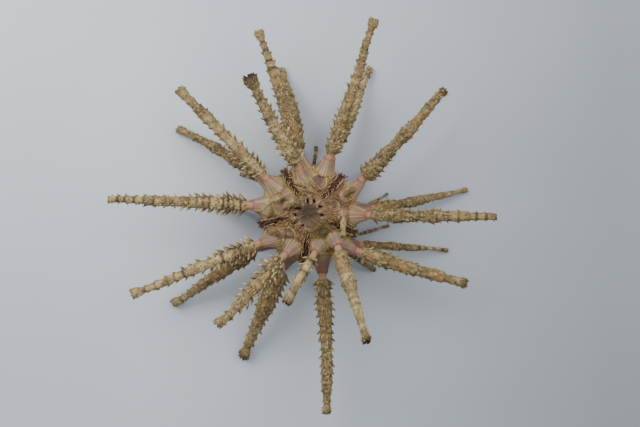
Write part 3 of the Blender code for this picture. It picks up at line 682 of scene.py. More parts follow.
rng = random.Random(5)
dark_rows, pale_rows, feet = Spots(), Spots(), Spots()
start = float(np.interp(seat_of_radius(TOP_RADIUS * 0.93), seat_fine, run))
end = float(np.interp(180.0 - seat_of_radius(MOUTH_RADIUS * 1.05), seat_fine, run))
for furrow in range(1, 6):
    middle = zone_middle(furrow) + ZONE_ANGLE / 2
    for step in range(int((end - start) / ROW_STEP)):
        for side in (-1.0, 1.0):
            seat = seat_at(start + ROW_STEP * (step + 0.5 + 0.25 * side + rng.uniform(-0.2, 0.2)))
            out, down, across = test_frame(seat, middle)
            reach = (test_point(seat, middle) - AXIS).xy.length
            wide = reach * math.tan(FURROW_HALF_ANGLE)
            inner = min(INNER_OFFSET, 0.35 * wide) * side
            outer = min(OUTER_OFFSET, 0.95 * wide) * side
            away = 1.0 if seat < 90.0 else -1.0
            foot = test_point(seat, middle, DARK.inset) + across * inner
            way = out * rng.uniform(0.35, 0.6) - across * side * 0.35 + down * away * 0.8
            edge = math.exp(-(((seat - EDGE_SEAT) / EDGE_SPREAD) ** 2))
            way += (out * 0.4 + across * side * rng.uniform(0.2, 0.9)) * edge
            tall = rng.uniform(DARK.shortest, DARK.longest) * (1.0 + 0.7 * edge) * MM
            dark_rows.add(foot, way, out, (DARK.wide, DARK.thick, tall), tone=rng.random(),
                          moss=0.0)
            if rng.random() < 0.35 + 0.45 * edge:
                way = out * rng.uniform(0.3, 0.8) + across * side * rng.uniform(-0.2, 0.5)
                way += down * away * rng.uniform(0.3, 1.2)
                foot = test_point(seat, middle, FOOT.inset) + across * inner * 1.5
                tall = rng.uniform(FOOT.shortest, FOOT.longest) * (1.0 + 0.2 * edge) * MM
                feet.add(foot, way, out, (FOOT.wide, FOOT.thick, tall), tone=rng.random(),
                         moss=0.0)
            foot = test_point(seat, middle, FRINGE.inset) + across * outer
            way = out * rng.uniform(0.3, 0.7) - across * side * rng.uniform(-0.1, 0.6)
            way += down * away * rng.uniform(0.3, 0.9)
            tall = rng.uniform(FRINGE.shortest, FRINGE.longest) * MM
            pale_rows.add(foot, way, out, (FRINGE.wide, FRINGE.thick, tall), tone=rng.random(),
                          moss=moss_at([foot])[0])
dark_paint = spinelet_finish("dark_red_spinelets", shade(36, 14, 11), shade(62, 27, 20),
                             shade(104, 66, 52), 0.5)
pale_paint = spinelet_finish("cream_spinelets", shade(96, 70, 46), shade(138, 112, 74),
                             shade(184, 162, 112), 0.5)
foot_paint = spinelet_finish("tube_foot_skin", shade(46, 18, 16), shade(66, 28, 24),
                             shade(92, 52, 38), 0.35)
furrow_pieces = [
    grown("furrow_rows", SPINELET, 6, dark_rows, dark_paint),
    grown("furrow_fringes", SPINELET, 6, pale_rows, pale_paint),
    grown("tube_feet", TUBE_FOOT, 5, feet, foot_paint),
]
for piece in furrow_pieces:
    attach(piece, "root")
    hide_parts(*FURROW_NODES)

# The sheaths: each big spine's foot is wrapped in a close tent of thin flat spinelets, lilac
# brown with a cream foot, that rise from inside the yellow rim and close on the collar.
BLADE_WIDTH = 0.46 * MM
BLADE_THICKNESS = 0.14 * MM
BLADE_OVERLAP = 0.62
BLADE_SINK = 0.4 * MM
LAYER_GAP = 0.14
LAYER_STEP = 0.07
FOOT_SHARE = 0.92
# Sheaths seated lower than this, on the side away from the lamps, get painted shade.
SHADED_SEAT = 74.0
CONE_LEAST = 0.55
CONE_FIRST = 22.0
CONE_SPAN = 56.0
BLADE = [Ring(-0.08, 0.9, 0.9, 0.6), Ring(0.05, 1.05, 1.1, 0.6), Ring(0.3, 1.0, 1.1, -0.6),
         Ring(0.55, 0.84, 1.0, -1.0), Ring(0.8, 0.62, 0.9, -0.5), Ring(0.95, 0.42, 0.7, 0.2)]


def cone_height(spine):
    """How high a sheath stands, less on the younger plates nearer the top."""
    share = min(1.0, max(CONE_LEAST, (spine.seat - CONE_FIRST) / CONE_SPAN))
    return spine.form.cone * share


def frame_along(way):
    """Two directions across a spine: level to its side, and the one over its back."""
    side = Vector((0.0, 0.0, 1.0)).cross(way)
    if side.length < 0.2:
        side = Vector((1.0, 0.0, 0.0)).cross(way)
    side.normalize()
    return side, way.cross(side)


def sheath_finish():
    """Satin lilac brown, striped along each blade, cream at the foot and pinker above, with painted
    shade on low sheaths on the side away from the lamps.
    """
    skin = Finish("sheath_skin", roughness=0.4, bump_strength=0.35, bump_depth=0.06 * MM)
    cloud = skin.noise(420.0)
    base = skin.ramp(skin.value("rise"), (0.0, shade(134, 110, 66)), (1.0, shade(160, 105, 82)),
                     (0.12, shade(145, 122, 86)), (0.3, shade(134, 110, 92)),
                     (0.6, shade(128, 101, 93)), (0.85, shade(146, 105, 88)))
    base = skin.mix(skin.spread(cloud, 0.45, 0.75, 0.0, 0.6), base, shade(162, 139, 104))
    base = skin.mix(skin.spread(skin.noise(110.0), 0.45, 0.65, 0.0, 0.6), base,
                    shade(130, 104, 74))
    base = skin.mix(skin.spread(skin.value("tone"), 0.55, 0.9, 0.0, 0.5), base,
                    shade(160, 136, 106))
    # The tone darkens some blades at random and, as painted shade, the blades of low sheaths on the
    # side away from the lamps.
    dim = skin.spread(skin.value("tone"), -0.4, 1.0, 0.58, 1.12)
    base = skin.mix(1.0, base, dim, "MULTIPLY")
    return skin.done(base, skin.noise(1500.0))


def spine_ends(spine):
    """A big spine's seat on the test and its tip, at the floor where it rests."""
    height = spine.crown if spine.height is None else spine.height
    tip = AXIS + polar(math.radians(spine.azimuth), spine.reach * MM, height * MM)
    return test_point(spine.seat, seat_azimuth(spine)), tip


rng = random.Random(8)
blades = Spots()
for spine in SPINES:
    seat, tip = spine_ends(spine)
    out = test_frame(spine.seat, seat_azimuth(spine))[0]
    way = (tip - seat).normalized()
    side, back = frame_along(way)
    foot_side = (side - out * side.dot(out)).normalized()
    foot_back = out.cross(foot_side)
    radius = sheath_radius(spine) * FOOT_SHARE
    count = max(12, round(2.0 * math.pi * radius / BLADE_WIDTH))
    # Painted shade: low sheaths on the side away from the lamps get lower tones, so darker blades.
    shaded = max(0.0, -math.sin(math.radians(spine.azimuth))) * (spine.seat > SHADED_SEAT)
    for k in range(count):
        angle = 2.0 * math.pi * (k + rng.uniform(-0.15, 0.15)) / count
        across = foot_side * math.cos(angle) + foot_back * math.sin(angle)
        foot = seat + across * radius * rng.uniform(0.95, 1.03) - out * BLADE_SINK
        over = side * math.cos(angle) + back * math.sin(angle)
        top = seat + way * cone_height(spine) * rng.uniform(0.9, 1.08)
        top += over * (spine.form.collar + (LAYER_GAP + LAYER_STEP * (k % 2)) * MM)
        width = 2.0 * math.pi * radius / count * BLADE_OVERLAP
        blades.add(foot, top - foot, over, (width, BLADE_THICKNESS, (top - foot).length),
                   tone=rng.random() * (1.0 - 0.5 * shaded) - 0.4 * shaded)
sheaths = grown("sheaths", BLADE, 6, blades, sheath_finish())
keep_above_floor(sheaths)
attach(sheaths, "root")
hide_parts(*ZONE_NODES)

# The big spines: chalky rods ringed with whorls of flat thorns, pink and smooth at the
# collar, banded with purple brown, toothed at the tip, and here and there overgrown with a
# rough olive brown crust. Each turns on the boss of its seat.
SHAFT_SIDES = 32
RING_STEP = 0.3 * MM
ROOT_STEP = 0.9 * MM
ROOT_DEPTH = 1.0 * MM
COLLAR_LENGTH = 2.0 * MM
COLLAR_SWELL = 0.2 * MM
COLLAR_WAIST = 0.5 * MM
SHOULDER_RISE = 1.0 * MM
SWAY = 0.3 * MM
SWAY_SIZE = 20.0 * MM
KNOT_SIZE = 8.0 * MM
CRUST_THICKNESS = 0.4 * MM
CRUST_PATCH = 7.0 * MM
LUMP_SIZE = 2.4 * MM
GRAIN_SIZE = 1.1 * MM
FULLY_ROUGH = 1.6 * MM
RIB_RADIUS = 1.7 * MM
BAND_WIDTH = 0.62 * MM
OUTER_BANDS = 0.62
CROWN_HEIGHT = 4.0 * MM
CROWN_USUAL = 1.6 * MM
CROWN_TEETH = 7
CROWN_THORNS = 16
CROWN_LUMPS = 50
CROWN_LUMP_WIDTH = 0.24 * MM
SETTLE_ROUNDS = 4
SETTLE_DEPTH = 0.08 * MM

# Where the whorls fade in above the collar and out under the crown, where the collar's pink
# skin ends and where the surface grows rough, counted from the first or the last whorl's edge.
FADE_IN = (-0.3 * MM, 0.6 * MM)
FADE_OUT = (-0.4 * MM, 1.2 * MM)
SKIN_END = (-1.5 * MM, 0.6 * MM)
ROUGH_START = -1.0 * MM

# The thorns lean to the tip, more of them further up, and flatter where they lie on the back
# than at the sides. Granules, and a few thin hairs, stand between them and on the crust.
THORNS_ROUND = 14
LATERAL = 0.86
FIRST_LEAN = 30.0
MORE_LEAN = 18.0
FLAT_LEAN = math.radians(22.0)
LEAN_SPREAD = (-0.22, 0.25)
FOOT_DEPTH = 0.92
THORN_FOOT = 0.2 * MM
BARE_GRANULES = 6
CRUST_GRANULES = 48
GRANULE_SPAN = 2.1 * MM
GRANULE_WIDTHS = (0.09, 0.26)
HAIR_SHARE = 0.16
HAIR_WIDTH = 0.09 * MM
HAIR_LENGTHS = (0.5, 1.1)
CROWN_THORN_LENGTHS = (0.5, 1.2)
ALL_ROUND = 6.28
THORN = [Ring(-0.14, 1.0, 1.0, 0.0), Ring(0.04, 1.0, 1.0, 0.0), Ring(0.42, 0.68, 0.72, -0.06),
         Ring(0.82, 0.28, 0.32, 0.06)]
GRANULE = [Ring(-0.4, 1.0, 1.0, 0.0), Ring(0.35, 0.8, 0.8, 0.0)]

# A shaft as it is laid out: its directions and length, its points with what colours them, the
# place along it, middle and radius of each ring, and the edges of its whorls.
Shaft = namedtuple("Shaft", "spine way side back length points values along middle radius edges")

# Each shaft's upright strip on its zone's map, with a margin all round.
Strip = namedtuple("Strip", "left width")
STRIP_EDGE = 0.05
STRIP_SPAN = 0.9
RISE_EDGE = 0.012
RISE_SPAN = 0.97


def crust_at(spine, share):
    """How overgrown a shaft is, at shares of the way from its first whorl to its tip."""
    return np.interp(share, np.linspace(0.0, 1.0, len(spine.crust)), spine.crust)


def whorl_edges(spine, first, last, rng):
    """Where the whorls of a shaft begin and end, the outer ones longer than the inner."""
    count = max(2, round((last - first) / spine.form.whorl))
    steps = rng.uniform(0.75, 1.25, count) * np.linspace(0.85, 1.35, count)
    return first + np.concatenate([[0.0], np.cumsum(steps / steps.sum())]) * (last - first)


def core_radius(spine, along, first, last, length):
    """A shaft's radius but for its whorls: widest above the collar, least at the neck."""
    cone = cone_height(spine)
    collar = spine.form.collar
    stout = spine.stout * spine.form.shoulder
    neck = spine.neck * MM
    reach = last - first
    places = [0.0, cone * 0.6, cone + COLLAR_SWELL, first - COLLAR_WAIST, first + SHOULDER_RISE,
              first + 0.2 * reach, first + 0.55 * reach, last, length]
    radii = [collar * 1.2, collar, collar * 1.06, collar * 0.94, 0.93 * stout,
             stout, 0.72 * stout + 0.28 * neck, neck, neck]
    return np.interp(along, places, radii)


def band_strength(spine, along, edges, outer, length, rng):
    """How dark the bands are that ring some whorl edges, most of the outer ones, and the
    tip of a rod."""
    band = np.zeros_like(along)
    for edge in edges[1:]:
        late = 0.35 if edge > outer else 0.0
        if rng.random() < 0.25 + 0.45 * spine.bands + late:
            strength = spine.bands * rng.uniform(0.75, 1.15)
            band = np.maximum(band, strength * np.exp(-((along - edge) / BAND_WIDTH) ** 2))
    if spine.form is ROD:
        band = np.maximum(band, np.exp(-((along - length) / BAND_WIDTH) ** 2))
    return band


def shaft_rings(spine, seat, tip, seed):
    """One shaft, laid out in rings of points from the seat to the tip."""
    rng = np.random.default_rng(seed)
    length = (tip - seat).length
    aim = (tip - seat).normalized()
    level, over = frame_along(aim)
    way, side, back = (np.array(v) for v in (aim, level, over))
    cone = cone_height(spine)
    stout = spine.stout * spine.form.shoulder
    neck = spine.neck * MM
    first = cone + COLLAR_LENGTH * spine.form.collar / BIG.collar
    last = length - CROWN_HEIGHT * max(1.0, spine.crown) * MM / CROWN_USUAL
    edges = whorl_edges(spine, first, last, rng)
    along = np.concatenate([np.arange(-ROOT_DEPTH, cone * 0.6, ROOT_STEP),
                            np.arange(cone * 0.6, length, RING_STEP), [length]])
    whorl = np.clip(np.searchsorted(edges, along, side="right") - 1, 0, len(edges) - 2)
    share = np.clip((along - edges[whorl]) / (edges[whorl + 1] - edges[whorl]), 0.0, 1.0)
    thorny = smooth(first + FADE_IN[0], first + FADE_IN[1], along)
    thorny *= 1.0 - smooth(last + FADE_OUT[0], last + FADE_OUT[1], along)
    flare = np.clip((along - last) / (length - last), 0.0, 1.0)
    overgrown = crust_at(spine, (along - first) / (length - first))

    # The radius of each ring: whorls that widen like the teeth of a saw, knots, crust, crown.
    middle = np.array(seat) + along[:, None] * way
    saw = share ** 1.5 * (1.0 - smooth(0.86, 1.0, share)) * thorny
    knots = waves(middle, KNOT_SIZE, seed + 4) * (0.08 + 0.22 * overgrown) * thorny
    radius = core_radius(spine, along, first, last, length)
    radius = radius * (0.93 + 0.2 * saw * (1.0 - 0.5 * overgrown) + knots)
    radius += CRUST_THICKNESS * (overgrown - 0.3) * thorny * stout / BIG.shoulder
    radius += (spine.crown * MM - neck) * smooth(0.0, 0.62, flare)
    radius *= 1.0 - 0.16 * smooth(0.8, 1.0, flare) * spine.stout

    # The shaft's slight bow and sway, which leave its seat and its tip where they are.
    sway = waves(middle, SWAY_SIZE, seed + 5) * SWAY
    sway = (sway - np.interp(0.0, along, sway)) * smooth(first, length, along) * (1.0 - flare)
    bow = spine.bow * MM * np.sin(math.pi * np.clip((along - first) / (length - first), 0.0, 1.0))
    middle += (sway + bow)[:, None] * side
    angles = np.arange(SHAFT_SIDES) * 2.0 * math.pi / SHAFT_SIDES
    round_ = np.cos(angles)[:, None] * side + np.sin(angles)[:, None] * back
    points = (middle[:, None, :] + radius[:, None, None] * round_).reshape(-1, 3)

    # Lumps and grain on the surface, rougher where the crust has grown, and the crown's teeth.
    place = np.arange(len(along))[:, None].repeat(SHAFT_SIDES, 1).ravel()
    lumps = waves(points, LUMP_SIZE, seed) * 0.5 + waves(points, GRAIN_SIZE, seed + 1) * 0.4
    grown_here = overgrown + 0.22 * waves(middle, CRUST_PATCH, seed + 2)
    grown_here = smooth(0.3, 0.7, grown_here[place] + 0.22 * lumps) * thorny[place]
    crown_crust = smooth(0.3, 0.7, overgrown)[place] * flare[place]
    rough = (0.06 + 0.36 * grown_here + 0.5 * crown_crust) * MM * lumps
    rough *= min(1.0, stout / FULLY_ROUGH) * smooth(first + ROUGH_START, first, along)[place]
    teeth = np.cos(angles * CROWN_TEETH + rng.uniform(0.0, 6.0))
    ragged = (0.07 + 0.1 * spine.crust[-1]) * rng.normal(size=SHAFT_SIDES)
    teeth = (0.09 * teeth + ragged) * spine.crown * MM
    tooth = np.tile(teeth, len(along)) * flare[place] ** 3
    outward = np.tile(round_, (len(along), 1))
    points = points + outward * (rough + 0.4 * tooth)[:, None] + way * tooth[:, None]

    band = band_strength(spine, along, edges, first + OUTER_BANDS * (last - first), length, rng)
    skin = 1.0 - smooth(first + SKIN_END[0], first + SKIN_END[1], along)
    values = {
        "band": np.clip(band, 0.0, 1.0)[place] * (1.0 - 0.85 * grown_here),
        "collar": skin[place],
        "grown": np.maximum(grown_here, crown_crust),
        "crown": flare[place],
        "pale": np.full(len(points), spine.tone),
        "lie": np.column_stack([np.tile(np.cos(angles), len(along)) * RIB_RADIUS,
                                np.tile(np.sin(angles), len(along)) * RIB_RADIUS,
                                along[place]]),
    }
    return Shaft(spine, aim, level, over, length, points, values, along, middle, radius, edges)


def settled_tip(spine, seat, tip, seed):
    """The tip of a spine that rests, moved until the shaft's lowest point is on the floor."""
    for _ in range(SETTLE_ROUNDS):
        low = shaft_rings(spine, seat, tip, seed).points[:, 2].min()
        tip = tip - Vector((0.0, 0.0, low + SETTLE_DEPTH))
    return tip


def shaft_surface(shaft, strip, first_point):
    """A shaft's points, faces and places on the map, with both its ends closed."""
    rings = len(shaft.along)
    faces, places = tube(rings, SHAFT_SIDES, first_point)
    places = list(np.column_stack([places[:, 0], RISE_EDGE + RISE_SPAN * places[:, 1]]))
    foot = first_point + rings * SHAFT_SIDES
    capped(faces, places, first_point, foot, SHAFT_SIDES, False, RISE_EDGE)
    capped(faces, places, foot - SHAFT_SIDES, foot + 1, SHAFT_SIDES, True,
           RISE_EDGE + RISE_SPAN)
    cup = shaft.middle[-1] - np.array(shaft.way) * 0.5 * shaft.spine.crown * MM
    points = np.vstack([shaft.points, shaft.middle[0], cup])
    return points, faces, np.array(places) * (strip.width, 1.0) + (strip.left, 0.0)


def grow_on(shaft, strip, spots, place_along, angle, lean, size, tone):
    """One thorn or granule on a shaft, its foot just under the surface."""
    here = float(np.interp(place_along, shaft.along, shaft.radius))
    centre = Vector([float(np.interp(place_along, shaft.along, shaft.middle[:, k]))
                     for k in range(3)])
    over = shaft.side * math.cos(angle) + shaft.back * math.sin(angle)
    foot = centre + over * here * FOOT_DEPTH
    pointing = over * math.cos(lean) + shaft.way * math.sin(lean)
    turn = angle / (2.0 * math.pi) % 1.0
    ring = min(len(shaft.along) - 1, int(np.searchsorted(shaft.along, place_along)))
    point = ring * SHAFT_SIDES + int(turn * SHAFT_SIDES)
    crust, band, crown = (float(shaft.values[key][point]) for key in ("grown", "band", "crown"))
    root = (strip.left + strip.width * turn,
            RISE_EDGE + RISE_SPAN * place_along / shaft.length, 0.0)
    spots.add(foot, pointing, shaft.way, size, root, grown=crust, tone=tone, band=band,
              pale=shaft.spine.tone, crust=0.9 * crust * crown * (tone < 0.7))


def grow_whorls(shaft, strip, thorns, granules, rng):
    """The thorns of every whorl, longest at the two sides, and the granules between them."""
    spine, edges = shaft.spine, shaft.edges
    shrink = spine.form.thorn / BIG.thorn
    girth = spine.form.shoulder / BIG.shoulder
    whorls = len(edges) - 1
    for index in range(whorls):
        step = edges[index + 1] - edges[index]
        share = index / whorls
        crust = float(crust_at(spine, (edges[index] - edges[0]) / (shaft.length - edges[0])))
        tall = spine.form.thorn * min(1.0, spine.stout) ** 1.3 * spine.teeth
        tall *= ((1.0 - share) ** 0.8 * 0.66 + 0.34) * (1.0 - 0.5 * crust)
        lean = math.radians(FIRST_LEAN + MORE_LEAN * share)
        for k in range(0 if spine.form is ROD else THORNS_ROUND):
            angle = 2.0 * math.pi * (k + rng.uniform(-0.25, 0.25)) / THORNS_ROUND
            lateral = abs(math.cos(angle)) > LATERAL
            if k % (THORNS_ROUND // 2) == 0:
                height = tall * rng.uniform(0.8, 1.3)
                spot = edges[index] + step * rng.uniform(0.65, 0.85)
            elif lateral:
                height = tall * rng.uniform(0.35, 0.9)
                spot = edges[index] + step * rng.uniform(0.3, 1.0)
            else:
                height = tall * rng.uniform(0.35, 0.85) * (0.4 + 1.1 * crust)
                spot = edges[index] + step * rng.uniform(0.1, 1.0)
            wide = 0.26 * height + THORN_FOOT * math.sqrt(shrink)
            flatter = 0.0 if lateral else FLAT_LEAN
            grow_on(shaft, strip, thorns, spot, angle, lean + flatter + rng.uniform(*LEAN_SPREAD),
                    (wide * 0.75, wide * 0.9, height), rng.random())
        number = (BARE_GRANULES + CRUST_GRANULES * crust) * girth * spine.form.whorl / GRANULE_SPAN
        for _ in range(round(number)):
            spot = edges[index] + step * rng.random()
            size = rng.uniform(*GRANULE_WIDTHS) * MM * math.sqrt(girth)
            tall = size * rng.uniform(0.9, 2.0)
            if rng.random() < HAIR_SHARE:
                size, tall = HAIR_WIDTH, rng.uniform(*HAIR_LENGTHS) * MM
            grow_on(shaft, strip, granules, spot, rng.uniform(0.0, ALL_ROUND),
                    rng.uniform(0.0, 0.8), (size, size, tall), rng.uniform(0.35, 0.9))


def grow_crown(shaft, strip, thorns, rng):
    """The short thorns and lumps on a crown, more and blunter where it is overgrown."""
    spine, start = shaft.spine, shaft.edges[-1]
    small = math.sqrt(spine.form.thorn / BIG.thorn) * min(1.0, spine.stout)
    girth = spine.form.shoulder / BIG.shoulder
    for _ in range(round((CROWN_THORNS + CROWN_LUMPS * spine.crust[-1]) * girth)):
        height = rng.uniform(*CROWN_THORN_LENGTHS) * MM * small
        lump = CROWN_LUMP_WIDTH * rng.uniform(0.8, 1.0 + 0.9 * spine.crust[-1]) * small
        spot = start + (shaft.length - start) * rng.uniform(0.05, 0.97)
        grow_on(shaft, strip, thorns, spot, rng.uniform(0.0, ALL_ROUND), rng.uniform(0.1, 1.1),
                (lump, lump, height), rng.random())


def blotched(paint, base):
    """Broad patches over a spine: orange tan in some places, darker grey brown in others."""
    base = paint.mix(paint.spread(paint.noise(150.0), 0.5, 0.66, 0.0, 0.4), base,
                     shade(150, 114, 66))
    return paint.mix(paint.spread(paint.noise(210.0), 0.52, 0.7, 0.0, 0.35), base,
                     shade(84, 70, 50))


def shaft_finish():
    """Tan and chalky, finely ribbed, with bands, crust, dark crowns and pink collars."""
    paint = Finish("spine_shaft", roughness=0.6, bump_strength=0.8, bump_depth=0.16 * MM)
    lie = paint.value("lie", "Vector")
    ribs = paint.noise(1900.0, 2.0, lie, (1.0, 1.0, 0.14))
    cloud = paint.noise(300.0)
    grit = paint.noise(1300.0, 4.0)
    clump = paint.noise(820.0, 4.0)
    base = paint.ramp(cloud, (0.32, shade(108, 91, 57)), (0.68, shade(189, 168, 120)))
    base = paint.mix(paint.spread(ribs, 0.5, 0.72, 0.0, 0.6), base, shade(98, 76, 46))
    base = paint.mix(paint.spread(grit, 0.52, 0.68, 0.0, 0.75), base, shade(78, 62, 40))
    crust = paint.ramp(clump, (0.36, shade(80, 66, 40)), (0.66, shade(162, 140, 96)),
                       (0.5, shade(118, 99, 63)))
    crust = paint.mix(paint.spread(grit, 0.5, 0.62, 0.0, 0.55), crust, shade(62, 48, 30))
    base = paint.mix(paint.value("grown"), base, crust)
    base = blotched(paint, base)
    base = paint.mix(1.0, base, paint.value("pale"), "MULTIPLY")
    base = paint.mix(paint.value("band"), base, shade(52, 30, 22))
    base = paint.mix(paint.maths("MULTIPLY", paint.value("crown"), 0.45), base,
                     shade(82, 62, 34))
    base = paint.mix(paint.maths("MULTIPLY", paint.value("crown"), paint.value("grown")), base,
                     shade(58, 43, 25))
    base = paint.mix(paint.value("collar"), base,
                     paint.ramp(cloud, (0.35, shade(160, 110, 94)), (0.7, shade(142, 104, 80))))
    height = paint.maths("ADD", ribs, grit)
    return paint.done(base, height)


def thorn_finish():
    """Tan at the foot and cream at the point, browner where the crust has grown."""
    paint = Finish("thorns", roughness=0.55, bump_strength=0.3, bump_depth=0.06 * MM)
    base = paint.ramp(paint.value("rise"), (0.0, shade(82, 67, 39)), (0.95, shade(228, 209, 162)),
                      (0.5, shade(150, 130, 86)))
    grit = paint.noise(800.0, 4.0)
    crust = paint.ramp(grit, (0.38, shade(74, 62, 39)), (0.62, shade(184, 164, 118)))
    base = paint.mix(paint.maths("MULTIPLY", paint.value("grown"), 0.85), base, crust)
    base = blotched(paint, base)
    base = paint.mix(paint.maths("MULTIPLY", paint.value("band"), 0.8), base, shade(58, 36, 26))
    base = paint.mix(paint.value("crust"), base, shade(62, 47, 27))
    dim = paint.spread(paint.value("tone"), 0.0, 1.0, 0.6, 1.18)
    dim = paint.maths("MULTIPLY", dim, paint.value("pale"))
    return paint.done(paint.mix(1.0, base, dim, "MULTIPLY"), grit)


shaft_paint = shaft_finish()
thorn_paint = thorn_finish()
for zone in range(1, 6):
    rng = random.Random(100 + zone)
    own = [spine for spine in SPINES if spine.zone == zone]
    points, faces, corners, values = [], [], [], {}
    thorns, granules = Spots(), Spots()
    first_point = 0
    for order, spine in enumerate(own):
        seat, tip = spine_ends(spine)
        seed = 1000 * zone + 10 * order
        if spine.height is None:
            tip = settled_tip(spine, seat, tip, seed)
        shaft = shaft_rings(spine, seat, tip, seed)
        strip = Strip((order + STRIP_EDGE) / len(own), STRIP_SPAN / len(own))
        surface, quads, places = shaft_surface(shaft, strip, first_point)
        points.append(surface)
        faces += quads
        corners.append(places)
        for key, numbers in shaft.values.items():
            values.setdefault(key, []).append(np.concatenate([numbers, numbers[[0, -1]]]))
        first_point += len(surface)
        grow_whorls(shaft, strip, thorns, granules, rng)
        grow_crown(shaft, strip, thorns, rng)

    values = {key: np.concatenate(parts) for key, parts in values.items()}
    shafts = made_mesh(f"shafts_zone_{zone}", np.vstack(points), faces, np.vstack(corners),
                       values, shaft_paint)
    pieces = [
        shafts,
        grown(f"thorns_zone_{zone}", THORN, 6, thorns, thorn_paint),
        grown(f"granules_zone_{zone}", GRANULE, 5, granules, thorn_paint),
    ]
    for piece in pieces:
        keep_above_floor(piece)
        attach(piece, "root")
        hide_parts(f"interambulacrum_{zone}")

# The small spinelets: short tan ones lie over the skin between the sheaths, and long curved
# cream ones stand round the top, thickest over one of the youngest plates, like parted hair.
COAT_STEP = 1.1 * MM
COAT = Sort(0.15 * MM, 0.16 * MM, 0.09 * MM, 0.8, 1.4)
HAIR = Sort(0.15 * MM, 0.14 * MM, 0.1 * MM, 0.6, 1.1)
HAIR_FROM = 6.8
HAIR_TO = 10.5

# Each tuft: its zone, how many long spinelets it has, how long they are and which way they lean.
Tuft = namedtuple("Tuft", "zone count length lean")
TUFTS = [Tuft(1, 52, 4.4 * MM, 138.0), Tuft(2, 30, 2.0 * MM, 20.0), Tuft(3, 10, 1.6 * MM, 60.0),
         Tuft(4, 10, 1.4 * MM, 120.0), Tuft(5, 12, 1.6 * MM, 190.0)]
rng = random.Random(21)
coat, hair = Spots(), Spots()
half = ZONE_ANGLE / 2 - FURROW_HALF_ANGLE
for zone in range(1, 6):
    for step in range(int((end - start) / COAT_STEP)):
        seat = seat_at(start + COAT_STEP * (step + 0.5))
        reach = (test_point(seat, 0.0) - AXIS).xy.length
        number = int(2.0 * half * reach / COAT_STEP)
        for k in range(number):
            azimuth = zone_middle(zone) + half * (2.0 * (k + rng.random()) / number - 1.0)
            foot = test_point(seat, azimuth, COAT.inset)
            if min((foot - middle).length / radius for middle, radius in DISHES) < 0.98:
                continue
            out, down, across = test_frame(seat, azimuth)
            away = 1.0 if seat < 90.0 else -1.0
            way = out * rng.uniform(0.2, 0.6) + down * away * rng.uniform(0.2, 1.0)
            way += across * rng.uniform(-0.5, 0.5)
            tall = rng.uniform(COAT.shortest, COAT.longest) * MM
            coat.add(foot, way, out, (COAT.wide, COAT.thick, tall), tone=rng.random(),
                     moss=moss_at([foot])[0])
for tuft in TUFTS:
    for _ in range(tuft.count):
        azimuth = zone_middle(tuft.zone) + rng.uniform(-0.9, 0.8) * half
        seat = seat_of_radius(rng.uniform(HAIR_FROM, HAIR_TO) * MM)
        out = test_frame(seat, azimuth)[0]
        lean = math.radians(tuft.lean + rng.gauss(0.0, 13.0))
        way = out * rng.uniform(0.1, 0.5) + polar(lean, 1.0)
        foot = test_point(seat, azimuth, HAIR.inset)
        tall = tuft.length * rng.uniform(HAIR.shortest, HAIR.longest)
        hair.add(foot, way, out, (HAIR.wide, HAIR.thick, tall), tone=rng.random(),
                 moss=moss_at([foot])[0])
coat_paint = spinelet_finish("tan_spinelets", shade(84, 62, 44), shade(120, 95, 66),
                             shade(156, 131, 92), 0.5)
hair_paint = spinelet_finish("long_cream_spinelets", shade(104, 79, 46), shade(152, 128, 82),
                             shade(196, 174, 124), 0.45)
coat_pieces = [
    grown("small_spinelets", SPINELET, 6, coat, coat_paint),
    grown("long_spinelets", SPINELET, 6, hair, hair_paint),
]
for piece in coat_pieces:
    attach(piece, "root")
    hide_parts(*ZONE_NODES)

# The top disc: mauve skin folds in like a star over the vent in the middle, dark slits open
# round it between blunt pinkish lobes, and short spinelets stand outside them.
VENT_RADIUS = 3.1 * MM
VENT_POINT = 1.0 * MM
VENT_POINT_SPREAD = math.radians(8.0)
VENT_DEPTH = 0.4 * MM
VENT_FOLDS = 18
FOLD_HEIGHT = 0.09 * MM
LUMP_HEIGHT = 0.14 * MM
SKIN_LUMP = 1.5 * MM

